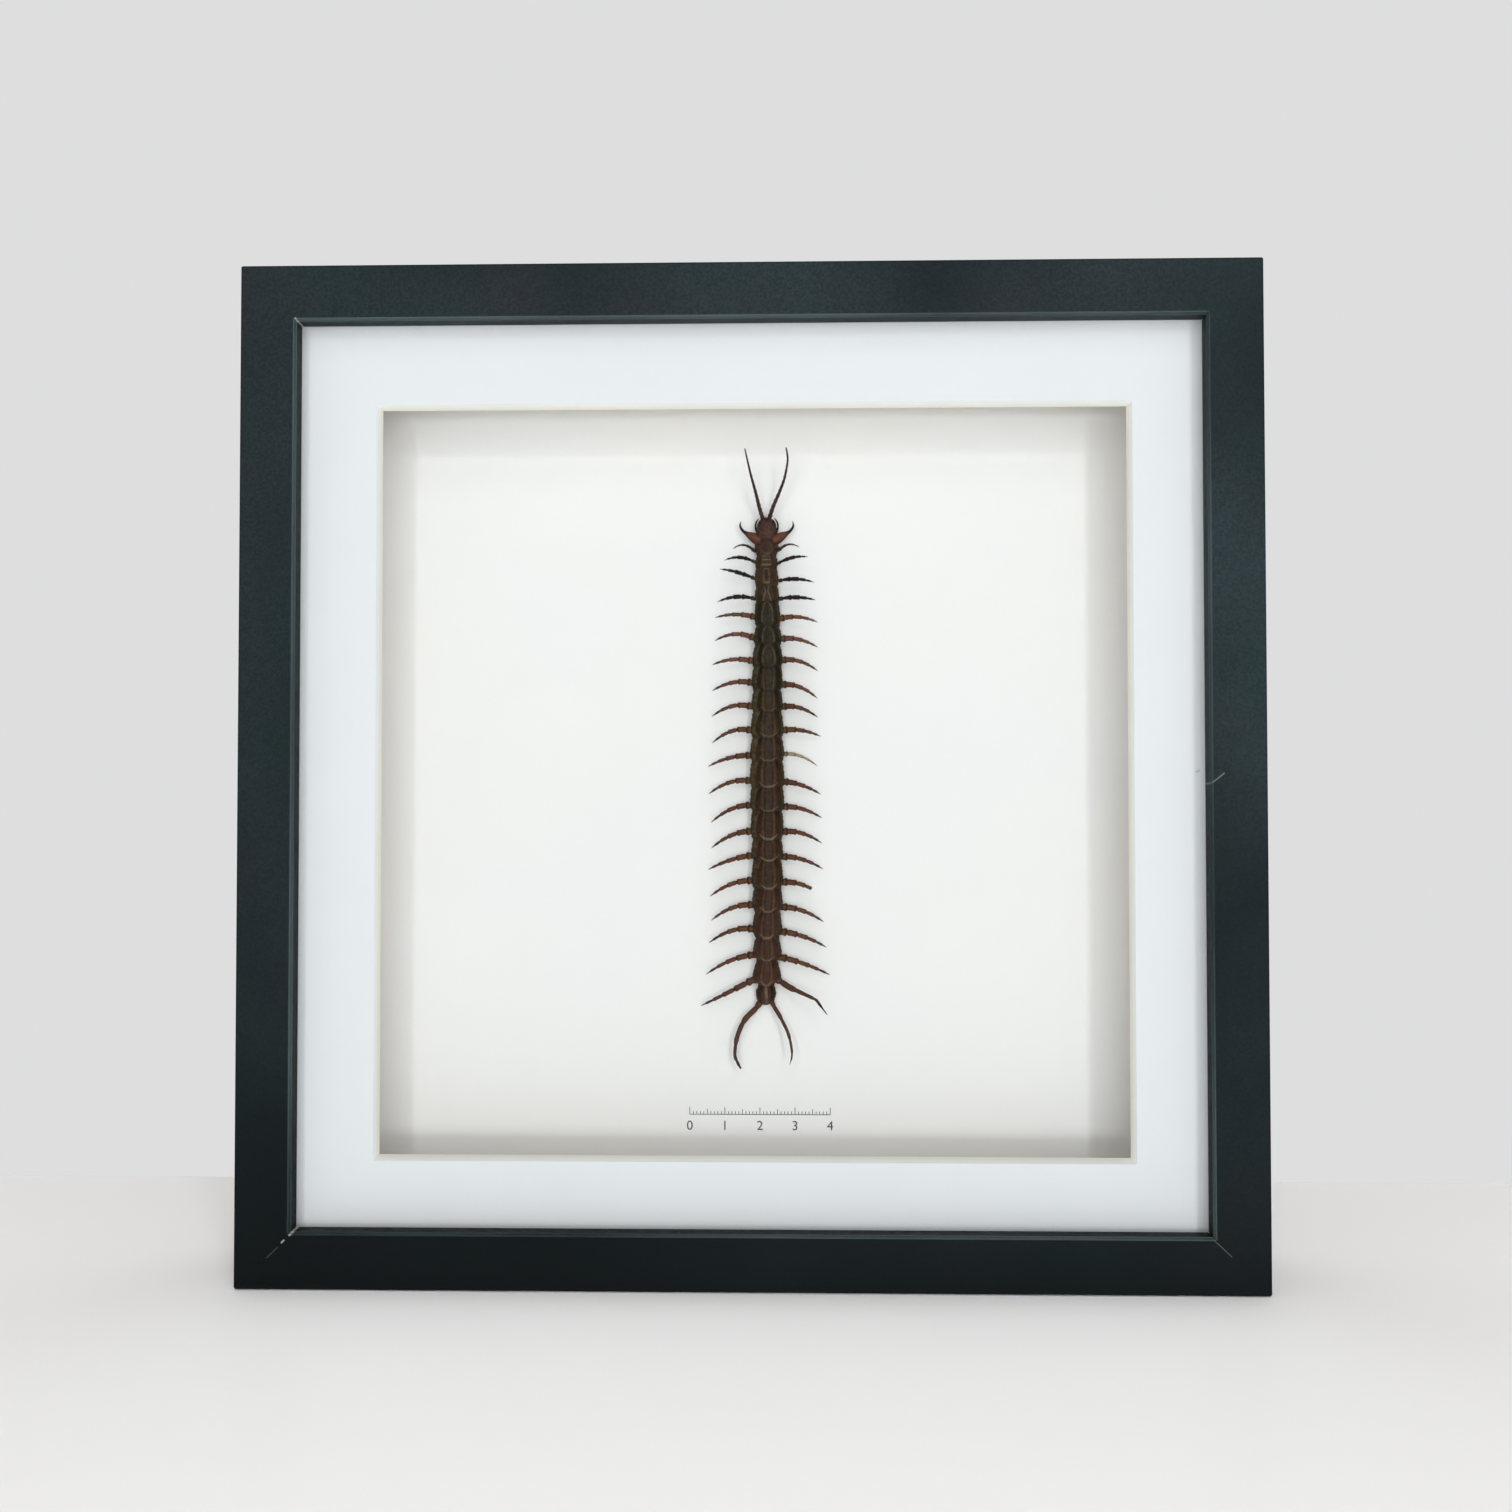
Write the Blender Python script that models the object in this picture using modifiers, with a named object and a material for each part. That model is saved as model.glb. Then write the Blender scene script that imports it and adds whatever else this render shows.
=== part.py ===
"""A giant centipede mounted in a black box frame.

Metres, +Z up. The frame stands on its bottom rail. The origin is under its middle, X runs to the right of
someone who looks at the specimen, and Y runs from the glass towards the back. Lengths along the specimen
count down from the front of its head.
"""

import math

import bmesh
import bpy
from mathutils import Matrix, Vector

MM = 0.001

# The frame
OUTSIDE = 0.276
DEPTH = 0.038
FACE_WIDTH = 0.0147
SIGHT_WIDTH = 0.0150
LIP_DEPTH = 0.0060
STEP_DEPTH = 0.0015
REBATE_WIDTH = 0.0107
ARRIS_RADIUS = 0.0006
BACK_ARRIS_RADIUS = 0.0004
MITRE_GAP = 0.00015
GAP = 0.0003

# What fills the rebate, from the glass to the back
PANE_SIZE = 0.254
GLASS_THICKNESS = 0.002
MOUNT_THICKNESS = 0.0014
SPACER_DEPTH = 0.019
SPACER_WIDTH = 0.005
CARD_THICKNESS = 0.0014
BACK_THICKNESS = 0.003

# The window in the mount, cut a little low and to the right
WINDOW_SIZE = 0.2044
WINDOW_RIGHT = 0.0009
WINDOW_DOWN = 0.0019

# Flexible tabs
TAB_LENGTH = 0.020
TAB_WIDTH = 0.008
TAB_TIP_WIDTH = 0.005
TAB_THICKNESS = 0.0005
TAB_IN_RAIL = 0.0055
TAB_SPREAD = 0.060
SLOT_ROOM = 0.0003

# Hanger
HANGER_LENGTH = 0.046
HANGER_HEIGHT = 0.009
HANGER_THICKNESS = 0.0008
HANGER_BOW = 0.0013
HANGER_BOW_LENGTH = 0.030
HANGER_BELOW_TOP = 0.040
TOOTH_DEPTH = 0.0014
TOOTH_COUNT = 7
SCREW_SPREAD = 0.019
SCREW_HEAD_RADIUS = 0.0024
SCREW_HEAD_HEIGHT = 0.0011
SCREW_SHANK_RADIUS = 0.0009
SCREW_LENGTH = 0.0028
SCREW_POINT = 0.0004
SCREW_HOLE_RADIUS = 0.0013
DRIVER_SLOT_WIDTH = 0.0006
DRIVER_SLOT_DEPTH = 0.0005

# The centipede's place on the card
SPECIMEN_RIGHT = 0.0045
HEAD_FRONT_ABOVE_MIDDLE = 0.0733

# Head, in millimetres: distance from its front, width, height above the card
HEAD_SECTIONS = (
    (0.0, 2.6, 2.9),
    (0.6, 4.2, 3.7),
    (1.8, 5.3, 4.2),
    (3.6, 5.8, 4.4),
    (5.6, 5.6, 4.3),
    (6.6, 5.3, 4.0),
)

# Body segments, in millimetres: rear edge of the back plate, legs, width at the legs, waist behind, height
SEGMENTS = (
    (10.8, 8.4, 7.0, 6.0, 4.5),
    (14.3, 13.0, 6.6, 6.4, 4.5),
    (19.6, 17.7, 6.9, 6.6, 4.7),
    (23.8, 22.8, 7.1, 6.9, 4.9),
    (31.0, 28.8, 7.5, 7.2, 5.0),
    (36.4, 34.8, 8.1, 7.8, 5.2),
    (42.7, 40.9, 8.8, 8.5, 5.4),
    (49.3, 47.7, 9.0, 8.4, 5.5),
    (55.3, 54.0, 9.1, 8.6, 5.6),
    (62.7, 60.8, 9.6, 9.0, 5.7),
    (69.5, 67.7, 9.9, 9.4, 5.8),
    (76.9, 75.0, 10.1, 9.5, 5.8),
    (83.7, 82.1, 9.9, 9.1, 5.8),
    (91.8, 89.5, 9.6, 8.7, 5.7),
    (97.7, 96.5, 9.3, 8.4, 5.7),
    (105.7, 103.5, 9.2, 8.3, 5.6),
    (112.2, 110.6, 8.8, 7.7, 5.5),
    (119.7, 117.7, 8.4, 7.2, 5.3),
    (125.9, 124.6, 8.2, 6.3, 5.1),
    (133.0, 131.5, 7.9, 4.8, 4.8),
    (138.0, 135.5, 5.6, 4.9, 4.2),
)
TAIL_END = (138.9, 3.8, 2.8)
# Each back plate starts low and narrow just behind the last one, and rises to its full height at the legs
PLATE_START = 0.25
PLATE_START_LEVEL = 0.88
PLATE_START_WIDTH = 0.96
PLATE_FRONT_LEVEL = 0.97
PLATE_END_LEVEL = 0.99

# How far the middle of the body wanders to the right, in millimetres: distance from the head's front, wander
WANDER = (
    (0.0, 0.0),
    (15.0, -0.1),
    (33.0, 0.25),
    (48.0, 0.0),
    (90.0, -0.2),
    (110.0, 0.1),
    (128.0, 0.0),
    (138.0, -0.35),
)

# Half of a body section, from the middle of the back round to the belly: shares of half width and height
SECTION = (
    (0.0, 1.0),
    (0.34, 0.985),
    (0.62, 0.91),
    (0.79, 0.76),
    (0.83, 0.62),
    (0.98, 0.47),
    (0.93, 0.20),
    (0.58, 0.03),
    (0.0, 0.0),
)

# Legs, in millimetres: how far out the tip is, then how far back the root, the middle and the tip are
RIGHT_LEGS = (
    (9.3, 9.3, 8.2, 9.0),
    (11.8, 13.1, 11.9, 11.7),
    (13.5, 18.1, 18.0, 18.9),
    (13.9, 23.3, 23.2, 23.9),
    (14.5, 28.9, 28.8, 30.2),
    (14.5, 34.7, 35.2, 37.3),
    (14.5, 40.8, 41.4, 44.0),
    (14.4, 47.8, 48.7, 51.8),
    (14.5, 54.1, 54.6, 57.2),
    (15.3, 60.8, 61.0, 62.6),
    (14.3, 67.6, 68.3, 71.0),
    (15.3, 75.5, 76.6, 79.1),
    (15.6, 82.6, 83.3, 85.8),
    (15.6, 89.7, 90.2, 93.0),
    (15.9, 96.8, 97.6, 100.3),
    (15.5, 104.0, 104.7, 107.6),
    (16.1, 111.1, 112.1, 115.3),
    (16.9, 118.1, 119.4, 122.5),
    (17.9, 125.4, 127.2, 130.3),
)
LEFT_LEGS = (
    (9.6, 9.5, 8.3, 9.5),
    (12.0, 12.7, 11.8, 12.6),
    (13.3, 17.4, 16.0, 15.0),
    (14.1, 23.2, 23.0, 24.4),
    (14.7, 28.4, 28.0, 28.8),
    (14.8, 34.4, 33.6, 35.4),
    (15.6, 41.0, 40.8, 42.2),
    (15.6, 47.2, 47.4, 49.6),
    (15.7, 54.0, 54.1, 56.9),
    (15.6, 60.8, 61.2, 64.5),
    (16.8, 68.0, 68.8, 71.2),
    (16.6, 75.2, 75.8, 79.0),
    (15.9, 82.2, 83.4, 87.1),
    (15.8, 89.6, 90.8, 94.4),
    (16.7, 96.5, 97.8, 100.5),
    (16.2, 103.6, 104.6, 108.1),
    (15.8, 110.5, 111.3, 114.9),
    (16.5, 117.3, 117.8, 121.3),
    (17.3, 124.7, 126.3, 130.2),
    (18.8, 131.9, 135.4, 139.1),
)
# The legs that bend at a joint: out from the body's middle, back from the head, above the card, radius
RIGHT_LEG_20 = (
    (2.0, 131.2, 2.1, 1.0),
    (3.6, 132.0, 2.4, 0.98),
    (6.3, 133.6, 3.8, 0.90),
    (9.6, 134.9, 5.6, 0.62),
    (14.0, 136.7, 7.2, 0.37),
    (16.9, 140.7, 8.2, 0.17),
)
RIGHT_LEG_21 = (
    (0.9, 137.2, 1.9, 0.70),
    (2.0, 139.3, 2.2, 0.70),
    (3.7, 142.0, 3.2, 0.60),
    (5.9, 146.3, 4.6, 0.50),
    (6.9, 150.2, 5.6, 0.42),
    (7.0, 152.8, 5.9, 0.30),
    (6.4, 155.1, 6.1, 0.17),
)
LEFT_LEG_21 = (
    (1.2, 137.2, 1.9, 0.95),
    (3.0, 139.6, 2.1, 0.94),
    (6.3, 143.0, 2.8, 0.84),
    (8.4, 147.6, 3.4, 0.70),
    (9.1, 152.5, 3.6, 0.54),
    (7.4, 156.6, 3.5, 0.40),
)

# Share of the way along a leg, and its radius in millimetres there
LEG_RADII = ((0.0, 1.0), (0.18, 0.90), (0.36, 0.76), (0.56, 0.65), (0.74, 0.46), (0.88, 0.32), (1.0, 0.15))
# How thick each pair is, from the head to the tail
LEG_THICKNESS = (
    *(0.50, 0.70, 0.80, 0.86, 0.92, 0.96, 0.97, 1.00, 1.00, 1.00),
    *(1.00, 1.00, 1.00, 1.03, 1.02, 1.05, 1.06, 1.08, 1.04, 1.05),
)
# One right leg is thin and one is broken off
THIN_PAIR = 11
THIN_LEG_SHARE = 0.68
BROKEN_PAIR = 16
BROKEN_LEG_SHARE = 0.74
LEG_ROOT_HEIGHT = 2.1
LEG_ROOT_INSET = 0.72
KNEE_RISE = 1.7
FRONT_TIP_HEIGHT = 5.2
MIDDLE_TIP_HEIGHT = 2.4
PAIRS_WITH_RAISED_TIPS = 8

# Antennae, poison claws and palps, in millimetres: out from the middle, back from the head, above the card
RIGHT_ANTENNA = (
    (0.5, 1.2, 3.1),
    (1.8, -2.6, 4.2),
    (3.7, -6.7, 5.8),
    (5.1, -10.2, 7.4),
    (6.0, -14.6, 9.2),
    (5.9, -16.5, 10.0),
    (5.6, -18.2, 10.8),
)
LEFT_ANTENNA = (
    (0.9, 1.2, 3.1),
    (2.0, -2.4, 4.2),
    (3.15, -6.8, 5.9),
    (4.5, -11.6, 7.8),
    (5.4, -15.4, 9.4),
    (6.0, -18.0, 10.6),
)
ANTENNA_BASE_RADIUS = 0.74
ANTENNA_TIP_RADIUS = 0.17
ANTENNA_TAPER = 1.3
POISON_CLAW = (
    (1.8, 6.6, 2.2),
    (3.4, 5.8, 2.1),
    (4.9, 4.95, 2.0),
    (6.0, 4.3, 2.0),
    (6.7, 3.8, 2.0),
    (7.4, 2.9, 2.1),
    (7.6, 2.0, 2.2),
    (7.4, 1.0, 2.3),
)
POISON_CLAW_RADII = (1.95, 1.75, 1.2, 0.68, 0.46, 0.36, 0.26, 0.11)
PALP = ((2.3, 4.8, 1.9), (2.95, 3.6, 1.9), (3.2, 2.5, 2.0), (3.0, 1.3, 2.1), (2.2, 0.1, 2.2))
PALP_RADII = (0.42, 0.40, 0.33, 0.28, 0.17)

# Fineness of what is round, and the largest angle that still looks smooth
LIMB_SIDES = 6
ARRIS_STEPS = 3
TAB_END_STEPS = 8
HOLE_SIDES = 16
SCREW_SIDES = 20
SMOOTH_ANGLE = math.radians(40)

GLASS_FRONT = LIP_DEPTH + GAP
MOUNT_FRONT = GLASS_FRONT + GLASS_THICKNESS + GAP
SPACER_FRONT = MOUNT_FRONT + MOUNT_THICKNESS + GAP
CARD_FRONT = SPACER_FRONT + SPACER_DEPTH + GAP
BACK_FRONT = CARD_FRONT + CARD_THICKNESS + GAP
BACK_REAR = BACK_FRONT + BACK_THICKNESS
CARD_SURFACE = CARD_FRONT - GAP


def clear_scene():
    """Removes whatever the opened file holds."""
    for obj in list(bpy.data.objects):
        bpy.data.objects.remove(obj)


def make_collection(name):
    collection = bpy.data.collections.new(name)
    bpy.context.scene.collection.children.link(collection)
    return collection


def make_material(name, colour, roughness, metallic=0.0, transmission=0.0):
    material = bpy.data.materials.new(name)
    material.use_nodes = True
    shader = material.node_tree.nodes["Principled BSDF"]
    shader.inputs["Base Color"].default_value = (*colour, 1.0)
    shader.inputs["Roughness"].default_value = roughness
    shader.inputs["Metallic"].default_value = metallic
    shader.inputs["Transmission Weight"].default_value = transmission
    return material


def link_mesh(name, mesh, collection, material=None):
    obj = bpy.data.objects.new(name, mesh)
    collection.objects.link(obj)
    if material:
        mesh.materials.clear()
        mesh.materials.append(material)
    return obj


def at(right, depth, up):
    """A point given by its distance right of the middle, behind the front and above the frame's middle."""
    return Vector((right, depth - DEPTH / 2, up + OUTSIDE / 2))


def block(name, size, centre, collection, material=None):
    """A box of the given X, Y, Z size."""
    mesh = bpy.data.meshes.new(name)
    shape = bmesh.new()
    bmesh.ops.create_cube(shape, size=1.0)
    bmesh.ops.scale(shape, vec=size, verts=shape.verts)
    shape.to_mesh(mesh)
    shape.free()
    obj = link_mesh(name, mesh, collection, material)
    obj.location = centre
    return obj


def turn_shape(shape, degrees, axis):
    """Turns everything in an open mesh about its origin."""
    matrix = Matrix.Rotation(math.radians(degrees), 3, axis)
    bmesh.ops.rotate(shape, cent=(0, 0, 0), matrix=matrix, verts=shape.verts)


def make_cutter(obj):
    obj.hide_render = True
    obj.display_type = "WIRE"
    return obj


def cut(obj, cutter):
    modifier = obj.modifiers.new("Cut", "BOOLEAN")
    modifier.operation = "DIFFERENCE"
    modifier.object = cutter


def arc(centre, radius, start, end, steps=ARRIS_STEPS):
    """Points round part of a circle, with the angles in degrees."""
    points = []
    for i in range(steps + 1):
        angle = math.radians(start + (end - start) * i / steps)
        points.append((centre[0] + radius * math.cos(angle), centre[1] + radius * math.sin(angle)))
    return points


def smooth(mesh):
    """Shades a mesh smooth, but for its sharp edges."""
    mesh.shade_smooth()
    mesh.set_sharp_from_angle(angle=SMOOTH_ANGLE)


def extruded_mesh(name, outline, thickness):
    """The mesh of a flat outline in X and Y, extruded to both sides of its plane."""
    curve = bpy.data.curves.new(name, "CURVE")
    curve.dimensions = "2D"
    curve.fill_mode = "BOTH"
    curve.extrude = thickness / 2
    spline = curve.splines.new("POLY")
    spline.points.add(len(outline) - 1)
    for point, place in zip(spline.points, outline):
        point.co = (place[0], place[1], 0.0, 1.0)
    spline.use_cyclic_u = True
    return curve_mesh(name, curve)


def curve_mesh(name, curve):
    """Turns a curve into a closed mesh and removes the curve."""
    guide = bpy.data.objects.new(name + "_guide", curve)
    bpy.context.scene.collection.objects.link(guide)
    graph = bpy.context.evaluated_depsgraph_get()
    mesh = bpy.data.meshes.new_from_object(guide.evaluated_get(graph))
    mesh.name = name
    shape = bmesh.new()
    shape.from_mesh(mesh)
    bmesh.ops.remove_doubles(shape, verts=shape.verts, dist=0.000001)
    bmesh.ops.recalc_face_normals(shape, faces=shape.faces)
    shape.to_mesh(mesh)
    shape.free()
    bpy.data.objects.remove(guide)
    smooth(mesh)
    return mesh


def rail_outline():
    """Section of a rail: X runs from its outer side inwards, Y from the front to the back."""
    step = [(FACE_WIDTH, STEP_DEPTH), (SIGHT_WIDTH, STEP_DEPTH), (SIGHT_WIDTH, LIP_DEPTH)]
    rebate = [(REBATE_WIDTH, LIP_DEPTH), (REBATE_WIDTH, DEPTH)]
    outer = arc((ARRIS_RADIUS, ARRIS_RADIUS), ARRIS_RADIUS, 180, 270)
    inner = arc((FACE_WIDTH - ARRIS_RADIUS, ARRIS_RADIUS), ARRIS_RADIUS, 270, 360)
    back = arc((BACK_ARRIS_RADIUS, DEPTH - BACK_ARRIS_RADIUS), BACK_ARRIS_RADIUS, 90, 180, 2)
    return outer + inner + step + rebate + back


def rail_mesh():
    """The bottom rail about the frame's middle. Both mitred ends stop short of the joint."""
    mesh = extruded_mesh("frame_rail", rail_outline(), OUTSIDE + 2 * GAP)
    bottom_edge = -OUTSIDE / 2
    stand = Matrix((
        (0.0, 0.0, -1.0, 0.0),
        (0.0, 1.0, 0.0, -DEPTH / 2),
        (1.0, 0.0, 0.0, bottom_edge),
        (0.0, 0.0, 0.0, 1.0),
    ))
    mesh.transform(stand)
    shape = bmesh.new()
    shape.from_mesh(mesh)
    for side in (1, -1):
        outward = Vector((side, 0.0, 1.0)).normalized()
        corner = Vector((-side * bottom_edge, 0.0, bottom_edge)) - outward * MITRE_GAP
        everything = shape.verts[:] + shape.edges[:] + shape.faces[:]
        bmesh.ops.bisect_plane(shape, geom=everything, plane_co=corner, plane_no=outward, clear_outer=True)
        rim = [edge for edge in shape.edges if edge.is_boundary]
        bmesh.ops.holes_fill(shape, edges=rim, sides=0)
    bmesh.ops.recalc_face_normals(shape, faces=shape.faces)
    shape.to_mesh(mesh)
    shape.free()
    smooth(mesh)
    return mesh


def turned(degrees):
    """Turns things of the bottom rail about the frame's middle, to another side of the frame."""
    return Matrix.Translation((0.0, 0.0, OUTSIDE / 2)) @ Matrix.Rotation(math.radians(degrees), 4, "Y")


def build_tabs_and_slots(parts, cutters, material):
    """Eight steel tabs, two a side, and the slots that they are pressed into."""
    room = OUTSIDE / 2 - REBATE_WIDTH
    tip = -room - TAB_IN_RAIL
    heel = tip + TAB_LENGTH
    half_tip = TAB_TIP_WIDTH / 2
    half = TAB_WIDTH / 2
    shoulder = -room + GAP
    end_arc = arc((0.0, heel - half), half, 0, 180, TAB_END_STEPS)
    outline = [(-half_tip, tip), (half_tip, tip), (half, shoulder)] + end_arc + [(-half, shoulder)]
    tab_mesh = extruded_mesh("retaining_tab", outline, TAB_THICKNESS)
    lie_back = Matrix(((1, 0, 0, 0), (0, 0, -1, 0), (0, 1, 0, 0), (0, 0, 0, 1)))
    tab_mesh.transform(lie_back)
    tab_middle = BACK_REAR + GAP + TAB_THICKNESS / 2 - DEPTH / 2
    slot_size = (TAB_WIDTH + 2 * SLOT_ROOM, TAB_THICKNESS + 2 * SLOT_ROOM, 2 * TAB_IN_RAIL + 2 * SLOT_ROOM)
    slots = []
    for i in range(8):
        along = TAB_SPREAD if i % 2 else -TAB_SPREAD
        place = turned(90 * (i // 2)) @ Matrix.Translation((along, tab_middle, 0.0))
        tab = link_mesh(f"retaining_tab_{i + 1}", tab_mesh, parts, material)
        tab.matrix_world = place
        slot = make_cutter(block(f"tab_slot_{i + 1}", slot_size, (0, 0, 0), cutters))
        slot.matrix_world = place @ Matrix.Translation((0.0, 0.0, -room))
        slots.append(slot)
    return slots


def build_frame(parts, cutters, wood, steel):
    """Four mitred rails with a lip over the glass and a deep rebate behind it."""
    slots = build_tabs_and_slots(parts, cutters, steel)
    mesh = rail_mesh()
    for i, side in enumerate(("bottom", "left", "top", "right")):
        rail = link_mesh("frame_rail_" + side, mesh, parts, wood)
        rail.matrix_world = turned(90 * i)
        for slot in slots[2 * i:2 * i + 2]:
            cut(rail, slot)


def build_glass(parts, material):
    middle = at(0, GLASS_FRONT + GLASS_THICKNESS / 2, 0)
    block("glass_pane", (PANE_SIZE, GLASS_THICKNESS, PANE_SIZE), middle, parts, material)


def build_mount(parts, cutters, material):
    """Board with a window whose edges are bevelled at 45 degrees and face the viewer."""
    middle = at(0, MOUNT_FRONT + MOUNT_THICKNESS / 2, 0)
    board = block("mount_board", (PANE_SIZE, MOUNT_THICKNESS, PANE_SIZE), middle, parts, material)
    beyond = MOUNT_THICKNESS
    half_front = WINDOW_SIZE / 2 + MOUNT_THICKNESS + beyond
    half_back = WINDOW_SIZE / 2 - beyond
    mesh = bpy.data.meshes.new("window_cutter")
    shape = bmesh.new()
    bmesh.ops.create_cone(
        shape,
        segments=4,
        radius1=half_back * math.sqrt(2),
        radius2=half_front * math.sqrt(2),
        depth=MOUNT_THICKNESS + 2 * beyond,
        cap_ends=True,
    )
    turn_shape(shape, 45, "Z")
    turn_shape(shape, 90, "X")
    shape.to_mesh(mesh)
    shape.free()
    cutter = make_cutter(link_mesh("window_cutter", mesh, cutters))
    cutter.location = middle + Vector((WINDOW_RIGHT, 0.0, -WINDOW_DOWN))
    cut(board, cutter)


def build_spacers(parts, material):
    """Foam-board strips on edge round the inside: two as wide as the pane and two between them."""
    outer = PANE_SIZE / 2
    depth = SPACER_FRONT + SPACER_DEPTH / 2
    off_centre = outer - SPACER_WIDTH / 2
    side_length = PANE_SIZE - 2 * SPACER_WIDTH - 2 * GAP
    for name, side in (("spacer_top", 1), ("spacer_bottom", -1)):
        block(name, (PANE_SIZE, SPACER_DEPTH, SPACER_WIDTH), at(0, depth, side * off_centre), parts, material)
    for name, side in (("spacer_right", 1), ("spacer_left", -1)):
        size = (SPACER_WIDTH, SPACER_DEPTH, side_length)
        block(name, size, at(side * off_centre, depth, 0), parts, material)


def build_card(parts, material):
    middle = at(0, CARD_FRONT + CARD_THICKNESS / 2, 0)
    block("backing_card", (PANE_SIZE, CARD_THICKNESS, PANE_SIZE), middle, parts, material)


def hanger_middle(depth):
    return at(0, depth, OUTSIDE / 2 - HANGER_BELOW_TOP)


def screw_place(side, depth):
    return hanger_middle(depth) + Vector((side * SCREW_SPREAD, 0.0, 0.0))


def build_hole_cutter(name, side, cutters):
    mesh = bpy.data.meshes.new(name)
    shape = bmesh.new()
    length = 2 * (BACK_THICKNESS + HANGER_THICKNESS)
    bmesh.ops.create_cone(
        shape,
        segments=HOLE_SIDES,
        radius1=SCREW_HOLE_RADIUS,
        radius2=SCREW_HOLE_RADIUS,
        depth=length,
        cap_ends=True,
    )
    turn_shape(shape, 90, "X")
    shape.to_mesh(mesh)
    shape.free()
    cutter = make_cutter(link_mesh(name, mesh, cutters))
    cutter.location = screw_place(side, BACK_REAR)
    return cutter


def build_back(parts, hole_cutters, material):
    middle = at(0, BACK_FRONT + BACK_THICKNESS / 2, 0)
    board = block("back_board", (PANE_SIZE, BACK_THICKNESS, PANE_SIZE), middle, parts, material)
    for cutter in hole_cutters:
        cut(board, cutter)


def bow(along):
    """How far the hanger's middle stands off the board at this distance from its centre."""
    share = min(1.0, abs(along) / (HANGER_BOW_LENGTH / 2))
    return HANGER_BOW * (0.5 + 0.5 * math.cos(math.pi * share))


def build_hanger(parts, hole_cutters, material):
    """Thin steel strip, bowed out between its ends, with teeth along the lower edge of the bow."""
    columns = 4 * TOOTH_COUNT
    mesh = bpy.data.meshes.new("hanger_plate")
    shape = bmesh.new()
    bmesh.ops.create_grid(shape, x_segments=columns, y_segments=1, size=0.5)
    toothed = HANGER_BOW_LENGTH / 2
    tooth = HANGER_BOW_LENGTH / TOOTH_COUNT
    for point in shape.verts:
        along = point.co.x * HANGER_LENGTH
        up = point.co.y * HANGER_HEIGHT
        if point.co.y < 0 and abs(along) < toothed:
            share = (along / tooth) % 1.0
            up += TOOTH_DEPTH * (1.0 - abs(2.0 * share - 1.0))
        point.co = (along, bow(along), up)
    shape.to_mesh(mesh)
    shape.free()
    smooth(mesh)
    plate = link_mesh("hanger_plate", mesh, parts, material)
    plate.location = hanger_middle(BACK_REAR + GAP)
    wall = plate.modifiers.new("Thickness", "SOLIDIFY")
    wall.thickness = HANGER_THICKNESS
    wall.offset = -1.0
    for cutter in hole_cutters:
        cut(plate, cutter)


def build_screw(name, side, parts, cutters, material):
    """Pan-head screw turned from its profile, with a slot for the driver."""
    seat = BACK_REAR + 2 * GAP + HANGER_THICKNESS
    head = SCREW_HEAD_RADIUS
    top = SCREW_HEAD_HEIGHT
    dome = [(head * math.cos(angle), top * math.sin(angle)) for angle in (math.pi / 2, 0.9, 0.45, 0.0)]
    shank = [(SCREW_SHANK_RADIUS, 0.0), (SCREW_SHANK_RADIUS, -SCREW_LENGTH)]
    point = [(0.0, -SCREW_LENGTH - SCREW_POINT)]
    mesh = bpy.data.meshes.new(name)
    shape = bmesh.new()
    points = [shape.verts.new((radius, 0.0, height)) for radius, height in dome + shank + point]
    profile = [shape.edges.new(pair) for pair in zip(points, points[1:])]
    bmesh.ops.spin(
        shape,
        geom=points + profile,
        axis=(0, 0, 1),
        cent=(0, 0, 0),
        angle=2 * math.pi,
        steps=SCREW_SIDES,
        use_merge=True,
    )
    bmesh.ops.remove_doubles(shape, verts=shape.verts, dist=0.000001)
    bmesh.ops.recalc_face_normals(shape, faces=shape.faces)
    turn_shape(shape, -90, "X")
    shape.to_mesh(mesh)
    shape.free()
    smooth(mesh)
    screw = link_mesh(name, mesh, parts, material)
    screw.location = screw_place(side, seat)
    slot_size = (3 * head, 2 * DRIVER_SLOT_DEPTH, DRIVER_SLOT_WIDTH)
    slot_place = screw_place(side, seat + SCREW_HEAD_HEIGHT)
    cut(screw, make_cutter(block(name + "_driver_slot", slot_size, slot_place, cutters)))


def on_card(out, back, height):
    """A point of the specimen: millimetres right of its middle, back from its head and above the card."""
    return at(
        SPECIMEN_RIGHT + out * MM,
        CARD_SURFACE - height * MM,
        HEAD_FRONT_ABOVE_MIDDLE - back * MM,
    )


def wander(back):
    """How far right of its straight line the body is, this far back."""
    for (start, before), (end, after) in zip(WANDER, WANDER[1:]):
        if back <= end:
            return before + (after - before) * max(0.0, (back - start) / (end - start))
    return WANDER[-1][1]


def body_ring(back, width, height):
    """Points round one section of the body, from the middle of the back to the belly and up again."""
    half = width / 2
    middle = wander(back)
    right_side = [on_card(middle + share * half, back, up * height) for share, up in SECTION]
    left_side = [on_card(middle - share * half, back, up * height) for share, up in SECTION[-2:0:-1]]
    return right_side + left_side


def body_rings():
    """Sections from the head to the tail. Each back plate ends in a low step down to the next."""
    rings = [body_ring(*section) for section in HEAD_SECTIONS]
    start = HEAD_SECTIONS[-1][0]
    waist = HEAD_SECTIONS[-1][1]
    for end, legs, width, next_waist, height in SEGMENTS:
        front_width = (waist + width) / 2 * PLATE_START_WIDTH
        rings.append(body_ring(start + PLATE_START, front_width, height * PLATE_START_LEVEL))
        rings.append(body_ring((start + legs) / 2, (waist + 2 * width) / 3, height * PLATE_FRONT_LEVEL))
        rings.append(body_ring(legs, width, height))
        rings.append(body_ring(end, (next_waist * 2 + width) / 3, height * PLATE_END_LEVEL))
        start = end
        waist = next_waist
    rings.append(body_ring(*TAIL_END))
    return rings


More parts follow.
